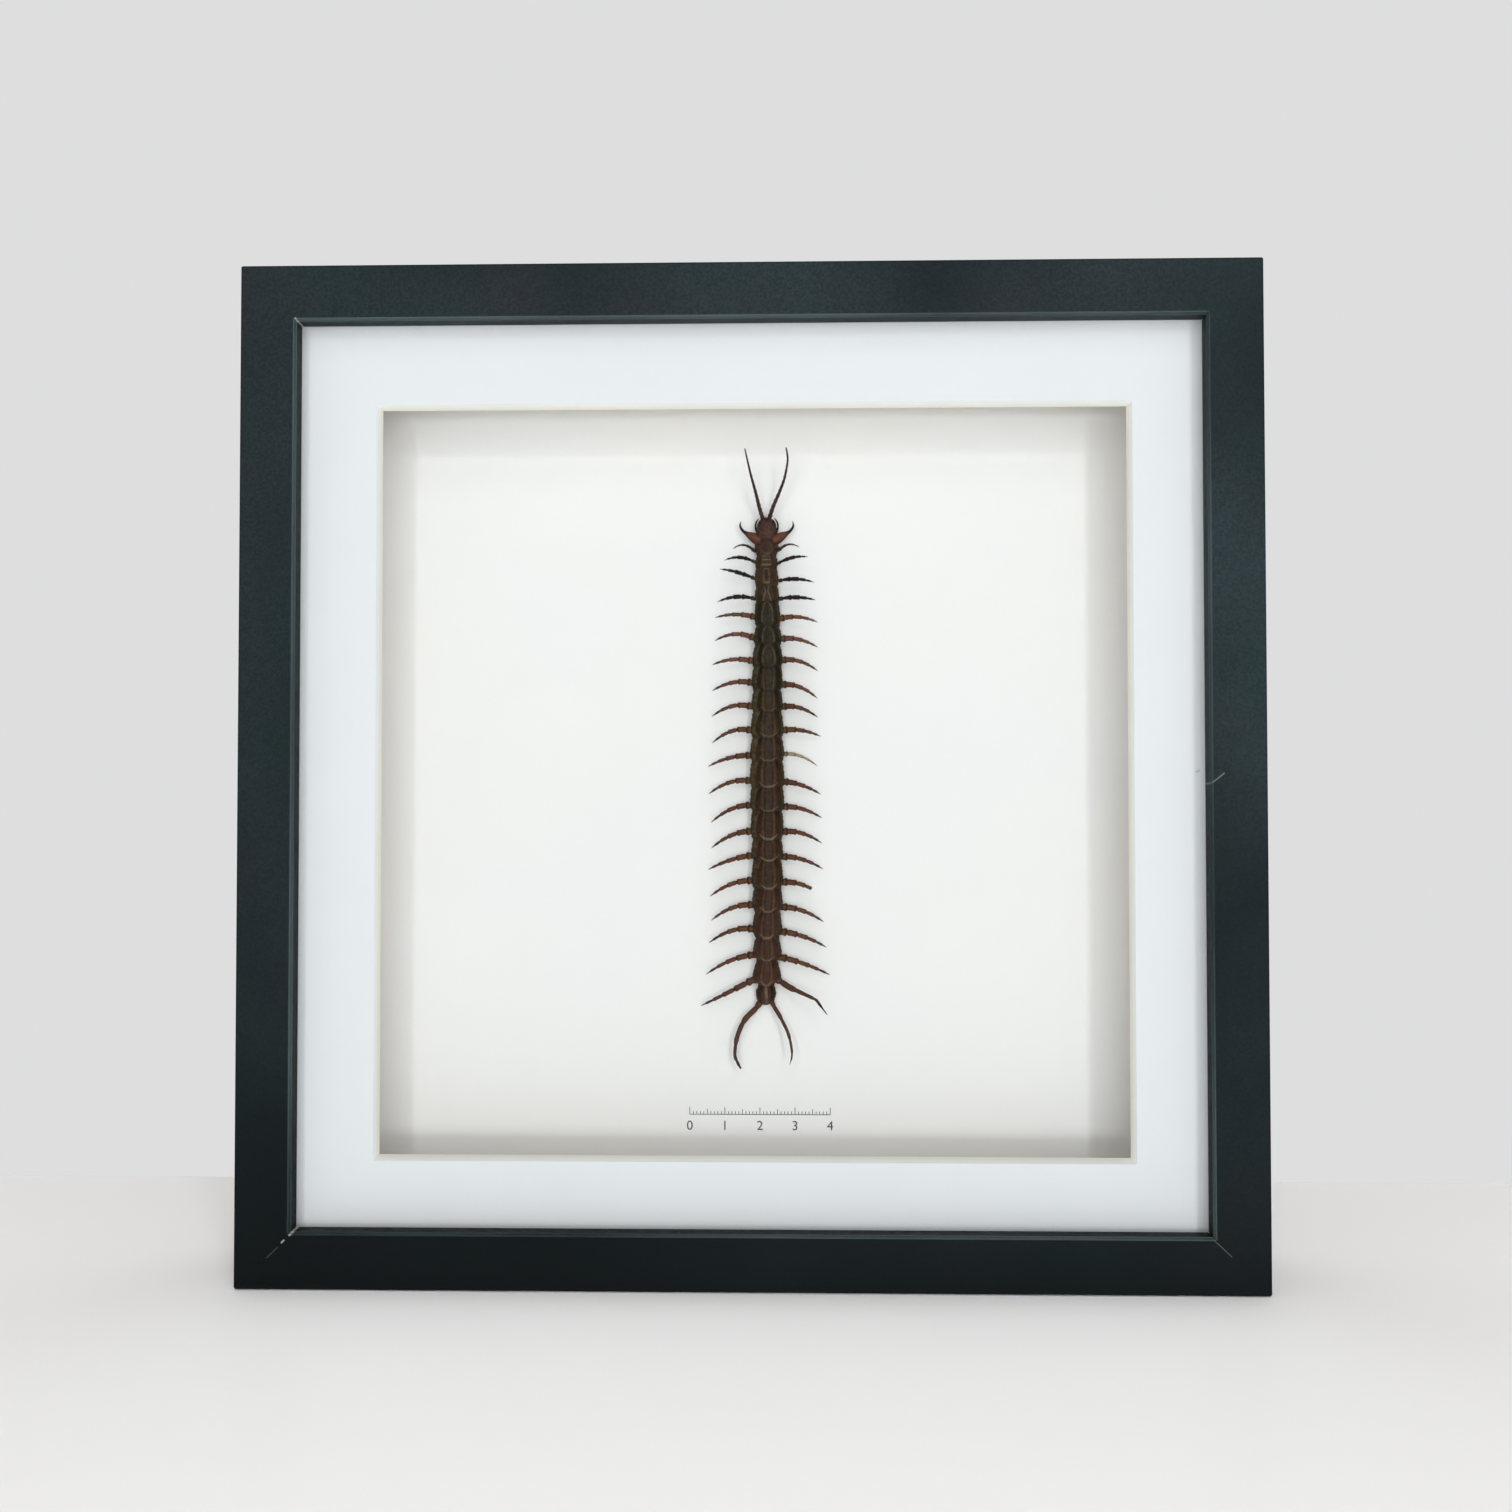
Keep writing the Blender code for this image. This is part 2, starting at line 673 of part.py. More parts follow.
def loft(name, rings):
    """A closed skin through rings of unlike size and shape."""
    mesh = bpy.data.meshes.new(name)
    shape = bmesh.new()
    rows = [[shape.verts.new(point) for point in ring] for ring in rings]
    count = len(rows[0])
    for row, next_row in zip(rows, rows[1:]):
        for i in range(count):
            j = (i + 1) % count
            shape.faces.new((row[i], row[j], next_row[j], next_row[i]))
    shape.faces.new(rows[0])
    shape.faces.new(rows[-1])
    bmesh.ops.recalc_face_normals(shape, faces=shape.faces)
    shape.to_mesh(mesh)
    shape.free()
    smooth(mesh)
    return mesh


def limb(name, points, radii, limbs):
    """A tapering tube through points on the card, for a leg, an antenna or a claw."""
    curve = bpy.data.curves.new(name, "CURVE")
    curve.dimensions = "3D"
    curve.bevel_depth = MM
    curve.bevel_resolution = LIMB_SIDES // 2 - 2
    curve.use_fill_caps = True
    spline = curve.splines.new("POLY")
    spline.points.add(len(points) - 1)
    for control, place, radius in zip(spline.points, points, radii):
        control.co = (*on_card(*place), 1.0)
        control.radius = radius
    return make_cutter(link_mesh(name, curve_mesh(name, curve), limbs))


def tip_height(pair):
    """The front legs reach up from the card, and the others come down nearly to it."""
    front_share = max(0.0, 1.0 - (pair - 1) / PAIRS_WITH_RAISED_TIPS)
    return MIDDLE_TIP_HEIGHT + (FRONT_TIP_HEIGHT - MIDDLE_TIP_HEIGHT) * front_share


def through(first, middle, last, share):
    """A smooth curve's value this share of the way along, from its first, middle and last values."""
    bend = 2 * (first - 2 * middle + last)
    return first + (last - first) * share - bend * share * (1 - share)


def build_leg(pair, side, shape, limbs):
    """A leg that arches from the body to its tip, in the plane of the card and above it."""
    tip_out, root_back, middle_back, tip_back = shape
    tip_level = tip_height(pair)
    knee_level = (LEG_ROOT_HEIGHT + tip_level) / 2 + KNEE_RISE
    flank = side * SEGMENTS[pair - 1][2] / 2
    root_out = wander(root_back) + flank
    thickness = LEG_THICKNESS[pair - 1]
    if pair == THIN_PAIR and side > 0:
        thickness *= THIN_LEG_SHARE
    stops = LEG_RADII
    if pair == BROKEN_PAIR and side > 0:
        stops = [stop for stop in LEG_RADII if stop[0] <= BROKEN_LEG_SHARE]
    points = [(wander(root_back) + flank * LEG_ROOT_INSET, root_back, LEG_ROOT_HEIGHT)]
    radii = [LEG_RADII[0][1] * thickness]
    for share, radius in stops:
        out = root_out + (side * tip_out - root_out) * share
        back = through(root_back, middle_back, tip_back, share)
        level = through(LEG_ROOT_HEIGHT, knee_level, tip_level, share)
        points.append((out, back, level))
        radii.append(radius * thickness)
    limb(f"leg_{pair}_{'right' if side > 0 else 'left'}", points, radii, limbs)


def build_bent_leg(name, side, path, limbs):
    """A leg given by its joints."""
    points = [(side * out, back, height) for out, back, height, _ in path]
    limb(name, points, [joint[3] for joint in path], limbs)


def build_antenna(name, side, path, limbs):
    points = [(side * out, back, height) for out, back, height in path]
    last = len(points) - 1
    swell = ANTENNA_BASE_RADIUS - ANTENNA_TIP_RADIUS
    radii = [ANTENNA_TIP_RADIUS + swell * (1 - i / last) ** ANTENNA_TAPER for i in range(last + 1)]
    limb(name, points, radii, limbs)


def build_mouthparts(side, limbs):
    word = "right" if side > 0 else "left"
    limb("poison_claw_" + word, [(side * p[0], p[1], p[2]) for p in POISON_CLAW], POISON_CLAW_RADII, limbs)
    limb("palp_" + word, [(side * p[0], p[1], p[2]) for p in PALP], PALP_RADII, limbs)


def build_centipede(parts, limbs, material):
    """One solid: the segmented body with its legs, antennae, poison claws and palps grown out of it."""
    body = link_mesh("centipede", loft("centipede", body_rings()), parts, material)
    for i, shape in enumerate(RIGHT_LEGS):
        build_leg(i + 1, 1, shape, limbs)
    for i, shape in enumerate(LEFT_LEGS):
        build_leg(i + 1, -1, shape, limbs)
    build_bent_leg("leg_20_right", 1, RIGHT_LEG_20, limbs)
    build_bent_leg("leg_21_right", 1, RIGHT_LEG_21, limbs)
    build_bent_leg("leg_21_left", -1, LEFT_LEG_21, limbs)
    build_antenna("antenna_right", 1, RIGHT_ANTENNA, limbs)
    build_antenna("antenna_left", -1, LEFT_ANTENNA, limbs)
    build_mouthparts(1, limbs)
    build_mouthparts(-1, limbs)
    grown = body.modifiers.new("Grown together", "BOOLEAN")
    grown.operation = "UNION"
    grown.operand_type = "COLLECTION"
    grown.collection = limbs


def main():
    clear_scene()
    parts = make_collection("framed_giant_centipede")
    cutters = make_collection("cutters")
    limbs = make_collection("limbs")
    black_wood = make_material("black_wood", (0.016, 0.021, 0.024), 0.55)
    steel = make_material("zinc_plated_steel", (0.62, 0.62, 0.6), 0.35, metallic=1.0)
    glass = make_material("clear_glass", (0.95, 0.98, 0.97), 0.02, transmission=1.0)
    mount_white = make_material("white_mount_board", (0.80, 0.83, 0.84), 0.9)
    foam = make_material("white_foam_board", (0.85, 0.85, 0.83), 0.9)
    card = make_material("white_card", (0.84, 0.87, 0.87), 0.9)
    board = make_material("brown_hardboard", (0.30, 0.19, 0.11), 0.8)
    chitin = make_material("brown_chitin", (0.075, 0.045, 0.03), 0.38)
    build_frame(parts, cutters, black_wood, steel)
    build_glass(parts, glass)
    build_mount(parts, cutters, mount_white)
    build_spacers(parts, foam)
    build_card(parts, card)
    left_hole = build_hole_cutter("screw_hole_left", -1, cutters)
    right_hole = build_hole_cutter("screw_hole_right", 1, cutters)
    holes = [left_hole, right_hole]
    build_back(parts, holes, board)
    build_hanger(parts, holes, steel)
    build_screw("hanger_screw_left", -1, parts, cutters, steel)
    build_screw("hanger_screw_right", 1, parts, cutters, steel)
    build_centipede(parts, limbs, chitin)


main()
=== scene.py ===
# %% [markdown]
# # A giant centipede in a box frame
# A dried giant centipede lies back up on a white card, behind the square window of a mount board, in a black
# box frame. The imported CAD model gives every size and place. This lesson gives each of its surfaces the finish
# of the real one, and models the animal in full over its plain solid.

import math

import bpy
import numpy as np
from mathutils import Matrix, Vector


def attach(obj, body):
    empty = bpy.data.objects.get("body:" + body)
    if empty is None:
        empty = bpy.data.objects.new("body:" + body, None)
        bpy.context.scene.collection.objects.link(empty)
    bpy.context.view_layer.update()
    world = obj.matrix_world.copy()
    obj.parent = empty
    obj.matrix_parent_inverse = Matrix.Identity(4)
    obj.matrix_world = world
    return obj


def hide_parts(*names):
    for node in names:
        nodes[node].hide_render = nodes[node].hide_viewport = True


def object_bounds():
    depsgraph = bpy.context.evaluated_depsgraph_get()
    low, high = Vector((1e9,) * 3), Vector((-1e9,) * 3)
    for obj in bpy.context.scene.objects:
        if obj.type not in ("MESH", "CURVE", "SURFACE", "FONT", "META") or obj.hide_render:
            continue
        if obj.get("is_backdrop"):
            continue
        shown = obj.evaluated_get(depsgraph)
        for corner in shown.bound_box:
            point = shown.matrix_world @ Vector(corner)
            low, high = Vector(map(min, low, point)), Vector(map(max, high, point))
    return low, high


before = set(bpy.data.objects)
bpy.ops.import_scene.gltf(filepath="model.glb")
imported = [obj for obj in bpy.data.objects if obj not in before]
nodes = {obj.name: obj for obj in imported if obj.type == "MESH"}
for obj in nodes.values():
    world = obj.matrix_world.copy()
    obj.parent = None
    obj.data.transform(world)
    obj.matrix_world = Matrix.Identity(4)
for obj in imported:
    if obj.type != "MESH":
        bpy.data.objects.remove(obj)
cad_low, cad_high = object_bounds()
MM = 0.001
print(f"{len(nodes)} pieces, {(cad_high.x - cad_low.x) / MM:.1f} mm wide, {(cad_high.z - cad_low.z) / MM:.1f} mm high")

# %% [markdown]
# ## The camera
# The frame was photographed from close by, which is why its inner walls show all round. A lens hardly longer
# than the picture is wide, 405 mm in front of the frame and turned a degree or so, gives the same four corners.

# %% The camera
PICTURE_WIDTH_PX = 1512
LENS_PX = 1514
SENSOR_MM = 36.0
CAMERA_PLACE_MM = (11.5, -423.8, 132.8)
TURNED_LEFT = math.radians(1.342)
TILTED_UP = math.radians(1.373)
ROLLED = math.radians(0.034)

lens = bpy.data.cameras.new("camera")
lens.sensor_width = SENSOR_MM
lens.lens = SENSOR_MM * LENS_PX / PICTURE_WIDTH_PX
lens.clip_start = 0.01
camera = bpy.data.objects.new("camera", lens)
bpy.context.scene.collection.objects.link(camera)
aim = Matrix.Rotation(TURNED_LEFT, 4, "Z") @ Matrix.Rotation(TILTED_UP, 4, "X") @ Matrix.Rotation(ROLLED, 4, "Y")
camera.matrix_world = Matrix.Translation(Vector(CAMERA_PLACE_MM) * MM) @ aim @ Matrix.Rotation(math.pi / 2, 4, "X")
bpy.context.scene.camera = camera
bpy.context.scene.view_settings.view_transform = "Standard"
print(f"lens {lens.lens:.2f} mm")

# %% [markdown]
# ## Shader helpers
# A procedural finish is a small tree of nodes. Building a tree node by node takes many lines, so one helper adds
# a node and joins its inputs, and others make the patterns that several finishes share. All patterns read
# Object coordinates, which are metres here, so a scale of 1000 makes a grain of about a millimetre.

# %% Shader helpers
def paint(red, green, blue):
    """A colour as a painter reads it off a screen, 0 to 255, turned into the linear light that shaders use."""
    shares = np.array([red, green, blue]) / 255
    linear = np.where(shares <= 0.04045, shares / 12.92, ((shares + 0.055) / 1.055) ** 2.4)
    return (*linear.tolist(), 1.0)


def add(tree, kind, inputs=None, **settings):
    """Adds a shader node. Each input is named or numbered, and takes a value or another node's output."""
    node = tree.nodes.new("ShaderNode" + kind)
    for name, value in settings.items():
        setattr(node, name, value)
    for name, value in (inputs or {}).items():
        if isinstance(value, bpy.types.NodeSocket):
            tree.links.new(value, node.inputs[name])
        else:
            node.inputs[name].default_value = value
    return node


def new_finish(name, **numbers):
    """A material with only its Principled shader. The plain numbers go straight onto the shader's sockets."""
    material = bpy.data.materials.new(name)
    material.use_nodes = True
    tree = material.node_tree
    tree.nodes.clear()
    shader = add(tree, "BsdfPrincipled", numbers)
    tree.links.new(shader.outputs[0], add(tree, "OutputMaterial").inputs[0])
    return material, tree, shader


def places(tree, stretch=(1, 1, 1)):
    """Object coordinates, pressed together along each axis by that much, so that a pattern runs along a grain."""
    return add(tree, "Mapping", {0: add(tree, "TexCoord").outputs["Object"], "Scale": stretch}).outputs[0]


def cloudy(tree, where, scale, detail=3.0, roughness=0.5, distortion=0.0):
    """Soft random patches from 0 to 1, about 1/scale metres across."""
    inputs = {"Vector": where, "Scale": scale, "Detail": detail, "Roughness": roughness, "Distortion": distortion}
    return add(tree, "TexNoise", inputs).outputs[0]


def between(tree, value, low, high, to_low=0.0, to_high=1.0):
    """Spreads the values from low to high over a new range, and holds what lies outside at its ends."""
    inputs = {"Value": value, "From Min": low, "From Max": high, "To Min": to_low, "To Max": to_high}
    return add(tree, "MapRange", inputs).outputs[0]


def reckon(tree, operation, first, second=0.0):
    """One sum on two numbers."""
    return add(tree, "Math", {0: first, 1: second}, operation=operation).outputs[0]


def mixed(tree, share, first, second):
    """Two colours mixed: all of the first at 0, all of the second at 1."""
    return add(tree, "Mix", {0: share, 6: first, 7: second}, data_type="RGBA").outputs[2]


def raised(tree, height, depth, strength=1.0):
    """A surface that seems raised by height, which goes from 0 to 1, times this depth in metres."""
    return add(tree, "Bump", {"Height": height, "Distance": depth, "Strength": strength}).outputs[0]


def wear(tree, where, start, end, width):
    """1 on a scratch from start to end, fading to 0 at its edge.

    The share of the way along is the point's offset from start, measured along the scratch and held
    between 0 and 1. The distance is from the point to that place on the scratch. Both ends are
    millimetres across and up the front of the frame.
    """
    begin = Vector((start[0] * MM, 0, start[1] * MM))
    run = Vector((end[0] * MM, 0, end[1] * MM)) - begin
    flat = add(tree, "VectorMath", {0: where, 1: (1, 0, 1)}, operation="MULTIPLY").outputs[0]
    offset = add(tree, "VectorMath", {0: flat, 1: begin}, operation="SUBTRACT").outputs[0]
    share = add(tree, "VectorMath", {0: offset, 1: run / max(run.length_squared, 1e-12)}, operation="DOT_PRODUCT")
    held = add(tree, "Clamp", {0: share.outputs["Value"]}).outputs[0]
    along = add(tree, "VectorMath", {0: run, "Scale": held}, operation="SCALE").outputs[0]
    apart = add(tree, "VectorMath", {0: offset, 1: along}, operation="DISTANCE").outputs["Value"]
    return between(tree, apart, width * MM * 0.35, width * MM, 1.0, 0.0)


def square_distance(tree, where, middle):
    """Millimetres from a middle, as the larger of across and up: its lines of equal distance are squares."""
    centred = add(tree, "VectorMath", {0: where, 1: (middle[0] * MM, 0, middle[1] * MM)}, operation="SUBTRACT")
    split = add(tree, "SeparateXYZ", {0: centred.outputs[0]}).outputs
    across = reckon(tree, "ABSOLUTE", split[0])
    up = reckon(tree, "ABSOLUTE", split[2])
    return reckon(tree, "MULTIPLY", reckon(tree, "MAXIMUM", across, up), 1000)


def joined(tree, shader, colour, roughness=None, normal=None):
    """Joins a colour, and where they vary the roughness and the surface's tilt, to the shader's own sockets."""
    for socket, value in (("Base Color", colour), ("Roughness", roughness), ("Normal", normal)):
        if value is not None:
            tree.links.new(value, shader.inputs[socket])


def dress(material, *names):
    """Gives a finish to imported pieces, whose shapes stay as they are."""
    for name in names:
        for slot in nodes[name].material_slots:
            slot.material = material


def placed(mesh, material):
    """A new mesh as an object in the scene, in this finish."""
    mesh.materials.append(material)
    thing = bpy.data.objects.new(mesh.name, mesh)
    bpy.context.scene.collection.objects.link(thing)
    return thing


print("shader helpers ready")

# %% [markdown]
# ## Black stained wood
# The rails are a smooth, close-grained moulding under a thin matt black coat with a slight blue-green cast. It
# is neither flat black nor glossy: a fine tooth scatters the light, and the grain runs along each rail. A painted
# sheen makes the coat paler in patches towards the top right, and a painted highlight runs along the front edge
# of the lip. Rails that lie flat and rails that stand up need the same recipe with the grain turned, so one
# function makes both. The knocks and scratches are named one by one, where the real frame has them.

# %% Black stained wood
COAT = paint(6, 9, 11)
# The paler coat is a painted sheen, laid on towards the top right and in patches.
COAT_SHEEN = paint(50, 61, 65)
COAT_CASTS = (paint(38, 64, 58), paint(60, 54, 60))
# A painted highlight along the lip's front edge.
EDGE_HIGHLIGHT = paint(84, 98, 100)
BARE_WOOD = paint(205, 200, 188)
# The lip's front edge lies inside a square of this half width, in front of this depth.
FRAME_MIDDLE_MM = (0, 138)
LIP_HALF_MM = 123.6
LIP_DEPTH = -0.0173
# Each knock or scratch: its start and end across and up the front, its width, and how bare it is.
WEAR_MARKS = (
    ((-122.9, 14.6), (-122.4, 15.1), 0.5, 0.8),
    ((-125.0, 12.5), (-124.4, 13.1), 0.32, 0.6),
    ((-129.0, 8.4), (-126.0, 11.3), 0.2, 0.08),
    ((-123.0, 261.4), (-122.6, 260.8), 0.35, 0.8),
    ((-122.8, 261.0), (-121.2, 259.6), 0.18, 0.4),
    ((122.8, 14.6), (127.4, 10.3), 0.16, 0.16),
    ((122.9, 135.0), (126.4, 137.8), 0.24, 0.28),
    ((-97.8, 259.9), (-97.5, 259.9), 0.3, 0.8),
)


def black_wood(name, stretch):
    """The black coat over wood, with its grain along the axis that is stretched least."""
    material, tree, shader = new_finish(name, **{"Specular IOR Level": 0.08, "Specular Tint": (0.7, 0.9, 0.95, 1.0)})
    here = places(tree)
    tooth = cloudy(tree, here, 1500, 2.0, 0.6)
    grain = cloudy(tree, places(tree, stretch), 60, 5.0, 0.6)
    patches = cloudy(tree, here, 13, 2.0, 0.4)
    across, depth, height = add(tree, "SeparateXYZ", {0: here}).outputs
    # Painted sheen: the coat is paler towards the top and the right, and in patches; the colour casts and the speck
    # show only where this painted sheen is.
    upwards = between(tree, height, 0.0, 0.14, 0.05, 1.0)
    rightwards = between(tree, across, -0.13, 0.13, 0.7, 1.1)
    painted_sheen = reckon(tree, "MULTIPLY", upwards, rightwards)
    sheen_in_patches = reckon(tree, "MULTIPLY", painted_sheen, between(tree, patches, 0.36, 0.64, 0.4, 1.0))
    colour = mixed(tree, reckon(tree, "ADD", sheen_in_patches, reckon(tree, "MULTIPLY", grain, 0.1)), COAT, COAT_SHEEN)
    for cast, scale in zip(COAT_CASTS, (17, 23)):
        share = reckon(tree, "MULTIPLY", sheen_in_patches, between(tree, cloudy(tree, here, scale, 2.0), 0.5, 0.7, 0.0, 0.5))
        colour = mixed(tree, share, colour, cast)
    speck = reckon(tree, "MULTIPLY", sheen_in_patches, between(tree, tooth, 0.35, 0.65, 0.0, 1.0))
    colour = mixed(tree, speck, mixed(tree, 0.4, colour, COAT), mixed(tree, 0.3, colour, COAT_SHEEN))
    inside = square_distance(tree, here, FRAME_MIDDLE_MM)
    lip = between(tree, inside, LIP_HALF_MM - 0.02, LIP_HALF_MM + 0.02, 1.0, 0.0)
    front = between(tree, depth, LIP_DEPTH - 0.0001, LIP_DEPTH + 0.0001, 1.0, 0.0)
    # Painted highlight: the lip's front edge is paler, in patches, where its rounded arris catches the light.
    wear_and_highlight = between(tree, patches, 0.35, 0.6, 0.35, 0.9)
    lip_edge_highlight = reckon(tree, "MULTIPLY", wear_and_highlight, reckon(tree, "MULTIPLY", lip, front))
    colour = mixed(tree, lip_edge_highlight, colour, EDGE_HIGHLIGHT)
    for start, end, width, share in WEAR_MARKS:
        mark = wear(tree, here, start, end, width)
        colour = mixed(tree, reckon(tree, "MULTIPLY", mark, share), colour, BARE_WOOD)
    dullness = between(tree, reckon(tree, "ADD", grain, tooth), 0.7, 1.3, 0.42, 0.6)
    fine = raised(tree, tooth, 0.00006, 0.6)
    grained = add(tree, "Bump", {"Height": grain, "Distance": 0.00005, "Strength": 0.3, "Normal": fine}).outputs[0]
    joined(tree, shader, colour, dullness, grained)
    return material


dress(black_wood("black stained wood lying", (1, 14, 14)), "frame_rail_top", "frame_rail_bottom")
dress(black_wood("black stained wood upright", (14, 14, 1)), "frame_rail_left", "frame_rail_right")
print("four rails stained")

# %% [markdown]
# ## Glued corners
# Where two rails meet, their mitred ends leave a joint as fine as a hair. A framer glues it and wipes black
# filler into it, or daylight would show through from the front. So each corner has one thin sheet of filler:
# the rail's own section, drawn on the slope between the rails. A round of the outline makes both faces and the
# rim, and the corner's two signs send it to each of the four corners.

# %% Glued corners
OUTER_HALF_MM = 138.0
JOINT_MM = 0.285
# The outline of a rail's section: how far in from the outer corner, and how deep.
RAIL_SECTION_MM = ((0.35, -18.96), (14.37, -18.96), (14.6, -18.3), (14.6, -17.4), (14.9, -17.4), (14.9, -13.05),
                   (10.6, -13.05), (10.6, 18.7), (0.3, 18.7))


def filler_sheets(corners):
    """Sheets told as corner x face x outline point.

    A point stands in from the corner by the same amount across and up, and back by its depth. The two
    faces are half the joint to either side of the slope.
    """
    inwards, depth = np.array(RAIL_SECTION_MM).T
    sign_x, sign_z = corners.T[..., None, None]
    half = np.array((-1, 1))[None, :, None] * JOINT_MM / 2 / math.sqrt(2)
    x = sign_x * (OUTER_HALF_MM - inwards) + sign_x * half
    z = OUTER_HALF_MM + sign_z * (OUTER_HALF_MM - inwards) - sign_z * half
    return np.stack([x, np.broadcast_to(depth, x.shape), z], axis=-1) * MM


corners = np.array(((-1, 1), (1, 1), (1, -1), (-1, -1)))
sheets = filler_sheets(corners)
count = len(RAIL_SECTION_MM)
rim = np.stack([np.arange(count), np.roll(np.arange(count), -1)])
walls = np.stack([rim[0], rim[1], rim[1] + count, rim[0] + count], axis=-1).tolist()
filler = black_wood("black filler", (6, 6, 6))
for (sign_x, sign_z), sheet in zip(corners, sheets):
    faces = [list(range(count))[::-1], list(range(count, 2 * count)), *walls]
    if sign_x * sign_z > 0:
        faces = [face[::-1] for face in faces]
    name = ("top" if sign_z > 0 else "bottom") + ("_right" if sign_x > 0 else "_left")
    mesh = bpy.data.meshes.new("joint_filler_" + name)
    mesh.from_pydata(sheet.reshape(-1, 3).tolist(), [], faces)
    piece = placed(mesh, filler)
    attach(piece, "root")
print(f"four joints of {JOINT_MM} mm filled")

# %% [markdown]
# ## Glass
# The pane is clear picture glass. Real glass lets light through to the card, but a path tracer finds a lamp
# through a refracting pane only by luck, and the box would fill with noise. So a ray that looks for light, and
# a ray that the card scatters, see the pane as plain transparent, and every other ray sees glass.

# %% Glass
glass, glass_tree, pane = new_finish("clear picture glass", **{
    "Base Color": (0.99, 0.995, 0.992, 1.0), "Roughness": 0.0, "IOR": 1.5, "Transmission Weight": 1.0,
    "Specular Tint": (0.04, 0.04, 0.04, 1.0)})
clear = add(glass_tree, "BsdfTransparent", {0: (0.985, 0.99, 0.988, 1.0)}).outputs[0]
path = add(glass_tree, "LightPath")
scattered = add(glass_tree, "MixShader", {0: path.outputs["Is Diffuse Ray"], 1: pane.outputs[0], 2: clear}).outputs[0]
either = add(glass_tree, "MixShader", {0: path.outputs["Is Shadow Ray"], 1: scattered, 2: clear}).outputs[0]
out = next(node for node in glass_tree.nodes if node.type == "OUTPUT_MATERIAL")
glass_tree.links.new(either, out.inputs[0])
dress(glass, "glass_pane")
print("pane glazed")

# %% [markdown]
# ## Mount board
# A mount is a sheet of card cut with a slanting blade, so the cut shows its core as a thin bright line round
# the window, white in front and cream towards the back, like the paper behind it. The board's face is a cool
# white paper. Distance from the middle of the window, measured square (the larger of across and up), tells the
# cut from the face, because the window is square.

# %% Mount board
WINDOW_MIDDLE_MM = (0.9, 136.1)
WINDOW_HALF_MM = 102.2
CUT_OUTER_MM = 103.56
FACE_WHITE = paint(238, 242, 246)
CORE_WHITE = paint(238, 240, 238)
CORE_CREAM = paint(232, 230, 219)
BACK_CREAM = paint(252, 240, 229)
# Depths: where the core turns to cream, and where the paper behind it starts.
CREAM_DEPTH = -0.00965
BACK_DEPTH = -0.0092

board, tree, shader = new_finish("white mount board", Roughness=0.85, **{"Specular IOR Level": 0.06})
here = places(tree)
fibres = cloudy(tree, here, 1500, 4.0, 0.7)
shade = cloudy(tree, here, 30, 2.0)
face = mixed(tree, between(tree, shade, 0.35, 0.65, 0.0, 0.5), FACE_WHITE, paint(236, 240, 245))
inside = square_distance(tree, here, WINDOW_MIDDLE_MM)
cut = between(tree, inside, CUT_OUTER_MM - 0.02, CUT_OUTER_MM + 0.02, 1.0, 0.0)
mark = reckon(tree, "MULTIPLY", wear(tree, here, (121.2, 138.3), (121.7, 138.6), 0.5), 0.3)
deep = add(tree, "SeparateXYZ", {0: here}).outputs[1]
face = mixed(tree, between(tree, deep, BACK_DEPTH - 0.0001, BACK_DEPTH + 0.0001), face, BACK_CREAM)
core = mixed(tree, between(tree, deep, CREAM_DEPTH - 0.00025, CREAM_DEPTH + 0.00025), CORE_WHITE, CORE_CREAM)
marked = mixed(tree, mark, mixed(tree, cut, face, core), paint(110, 110, 112))
joined(tree, shader, marked, normal=raised(tree, fibres, 0.00003, 0.35))
dress(board, "mount_board")
print(f"window {2 * WINDOW_HALF_MM:.0f} mm, cut {CUT_OUTER_MM - WINDOW_HALF_MM:.1f} mm wide")

# %% [markdown]
# ## Card and foam board
# The card behind the animal is a smooth white sheet, a little warmer than the mount, with a faint tooth. Four
# strips of foam board hold the mount off it: their faces are paper and their cut sides show a fine foam of
# closed cells, which a Voronoi pattern draws.

# %% Card and foam board
card, tree, shader = new_finish("white card", Roughness=0.8, **{"Specular IOR Level": 0.06})
here = places(tree)
tooth = cloudy(tree, here, 2200, 3.0, 0.6)
shade = cloudy(tree, here, 18, 2.0)
card_white = mixed(tree, between(tree, shade, 0.3, 0.7), paint(247, 248, 247), paint(245, 247, 248))
joined(tree, shader, card_white, normal=raised(tree, tooth, 0.00002, 0.3))
dress(card, "backing_card")

foam, tree, shader = new_finish("white foam board", Roughness=0.9, **{"Specular IOR Level": 0.2})
cells = add(tree, "TexVoronoi", {"Vector": places(tree), "Scale": 2500}, feature="DISTANCE_TO_EDGE").outputs[0]
foam_white = mixed(tree, between(tree, cells, 0.0, 0.12), paint(236, 229, 218), paint(252, 244, 236))
joined(tree, shader, foam_white, normal=raised(tree, between(tree, cells, 0.0, 0.2), 0.0001, 0.5))
dress(foam, "spacer_top", "spacer_right", "spacer_bottom", "spacer_left")
print("card and four strips dressed")

# %% [markdown]
# ## Hardboard and zinc
# The back is brown hardboard: pressed wood fibre, mottled, with darker flecks, smooth on its outer face. The
# tabs, the hanger and its screws are zinc-plated steel. Zinc is a soft bluish metal whose shine changes in
# patches, with fine rubbed lines, so its roughness carries most of its look.

# %% Hardboard and zinc
hardboard, tree, shader = new_finish("brown hardboard", **{"Specular IOR Level": 0.3})
here = places(tree)
mottle = cloudy(tree, here, 350, 6.0, 0.7, 0.6)
flecks = cloudy(tree, here, 1400, 3.0, 0.6)
brown = mixed(tree, between(tree, mottle, 0.3, 0.7), paint(118, 84, 56), paint(158, 119, 84))
brown = mixed(tree, between(tree, flecks, 0.6, 0.75, 0.0, 0.6), brown, paint(74, 50, 34))
fibrous = raised(tree, reckon(tree, "ADD", mottle, flecks), 0.0001, 0.4)
joined(tree, shader, brown, between(tree, mottle, 0.3, 0.7, 0.55, 0.8), fibrous)
dress(hardboard, "back_board")

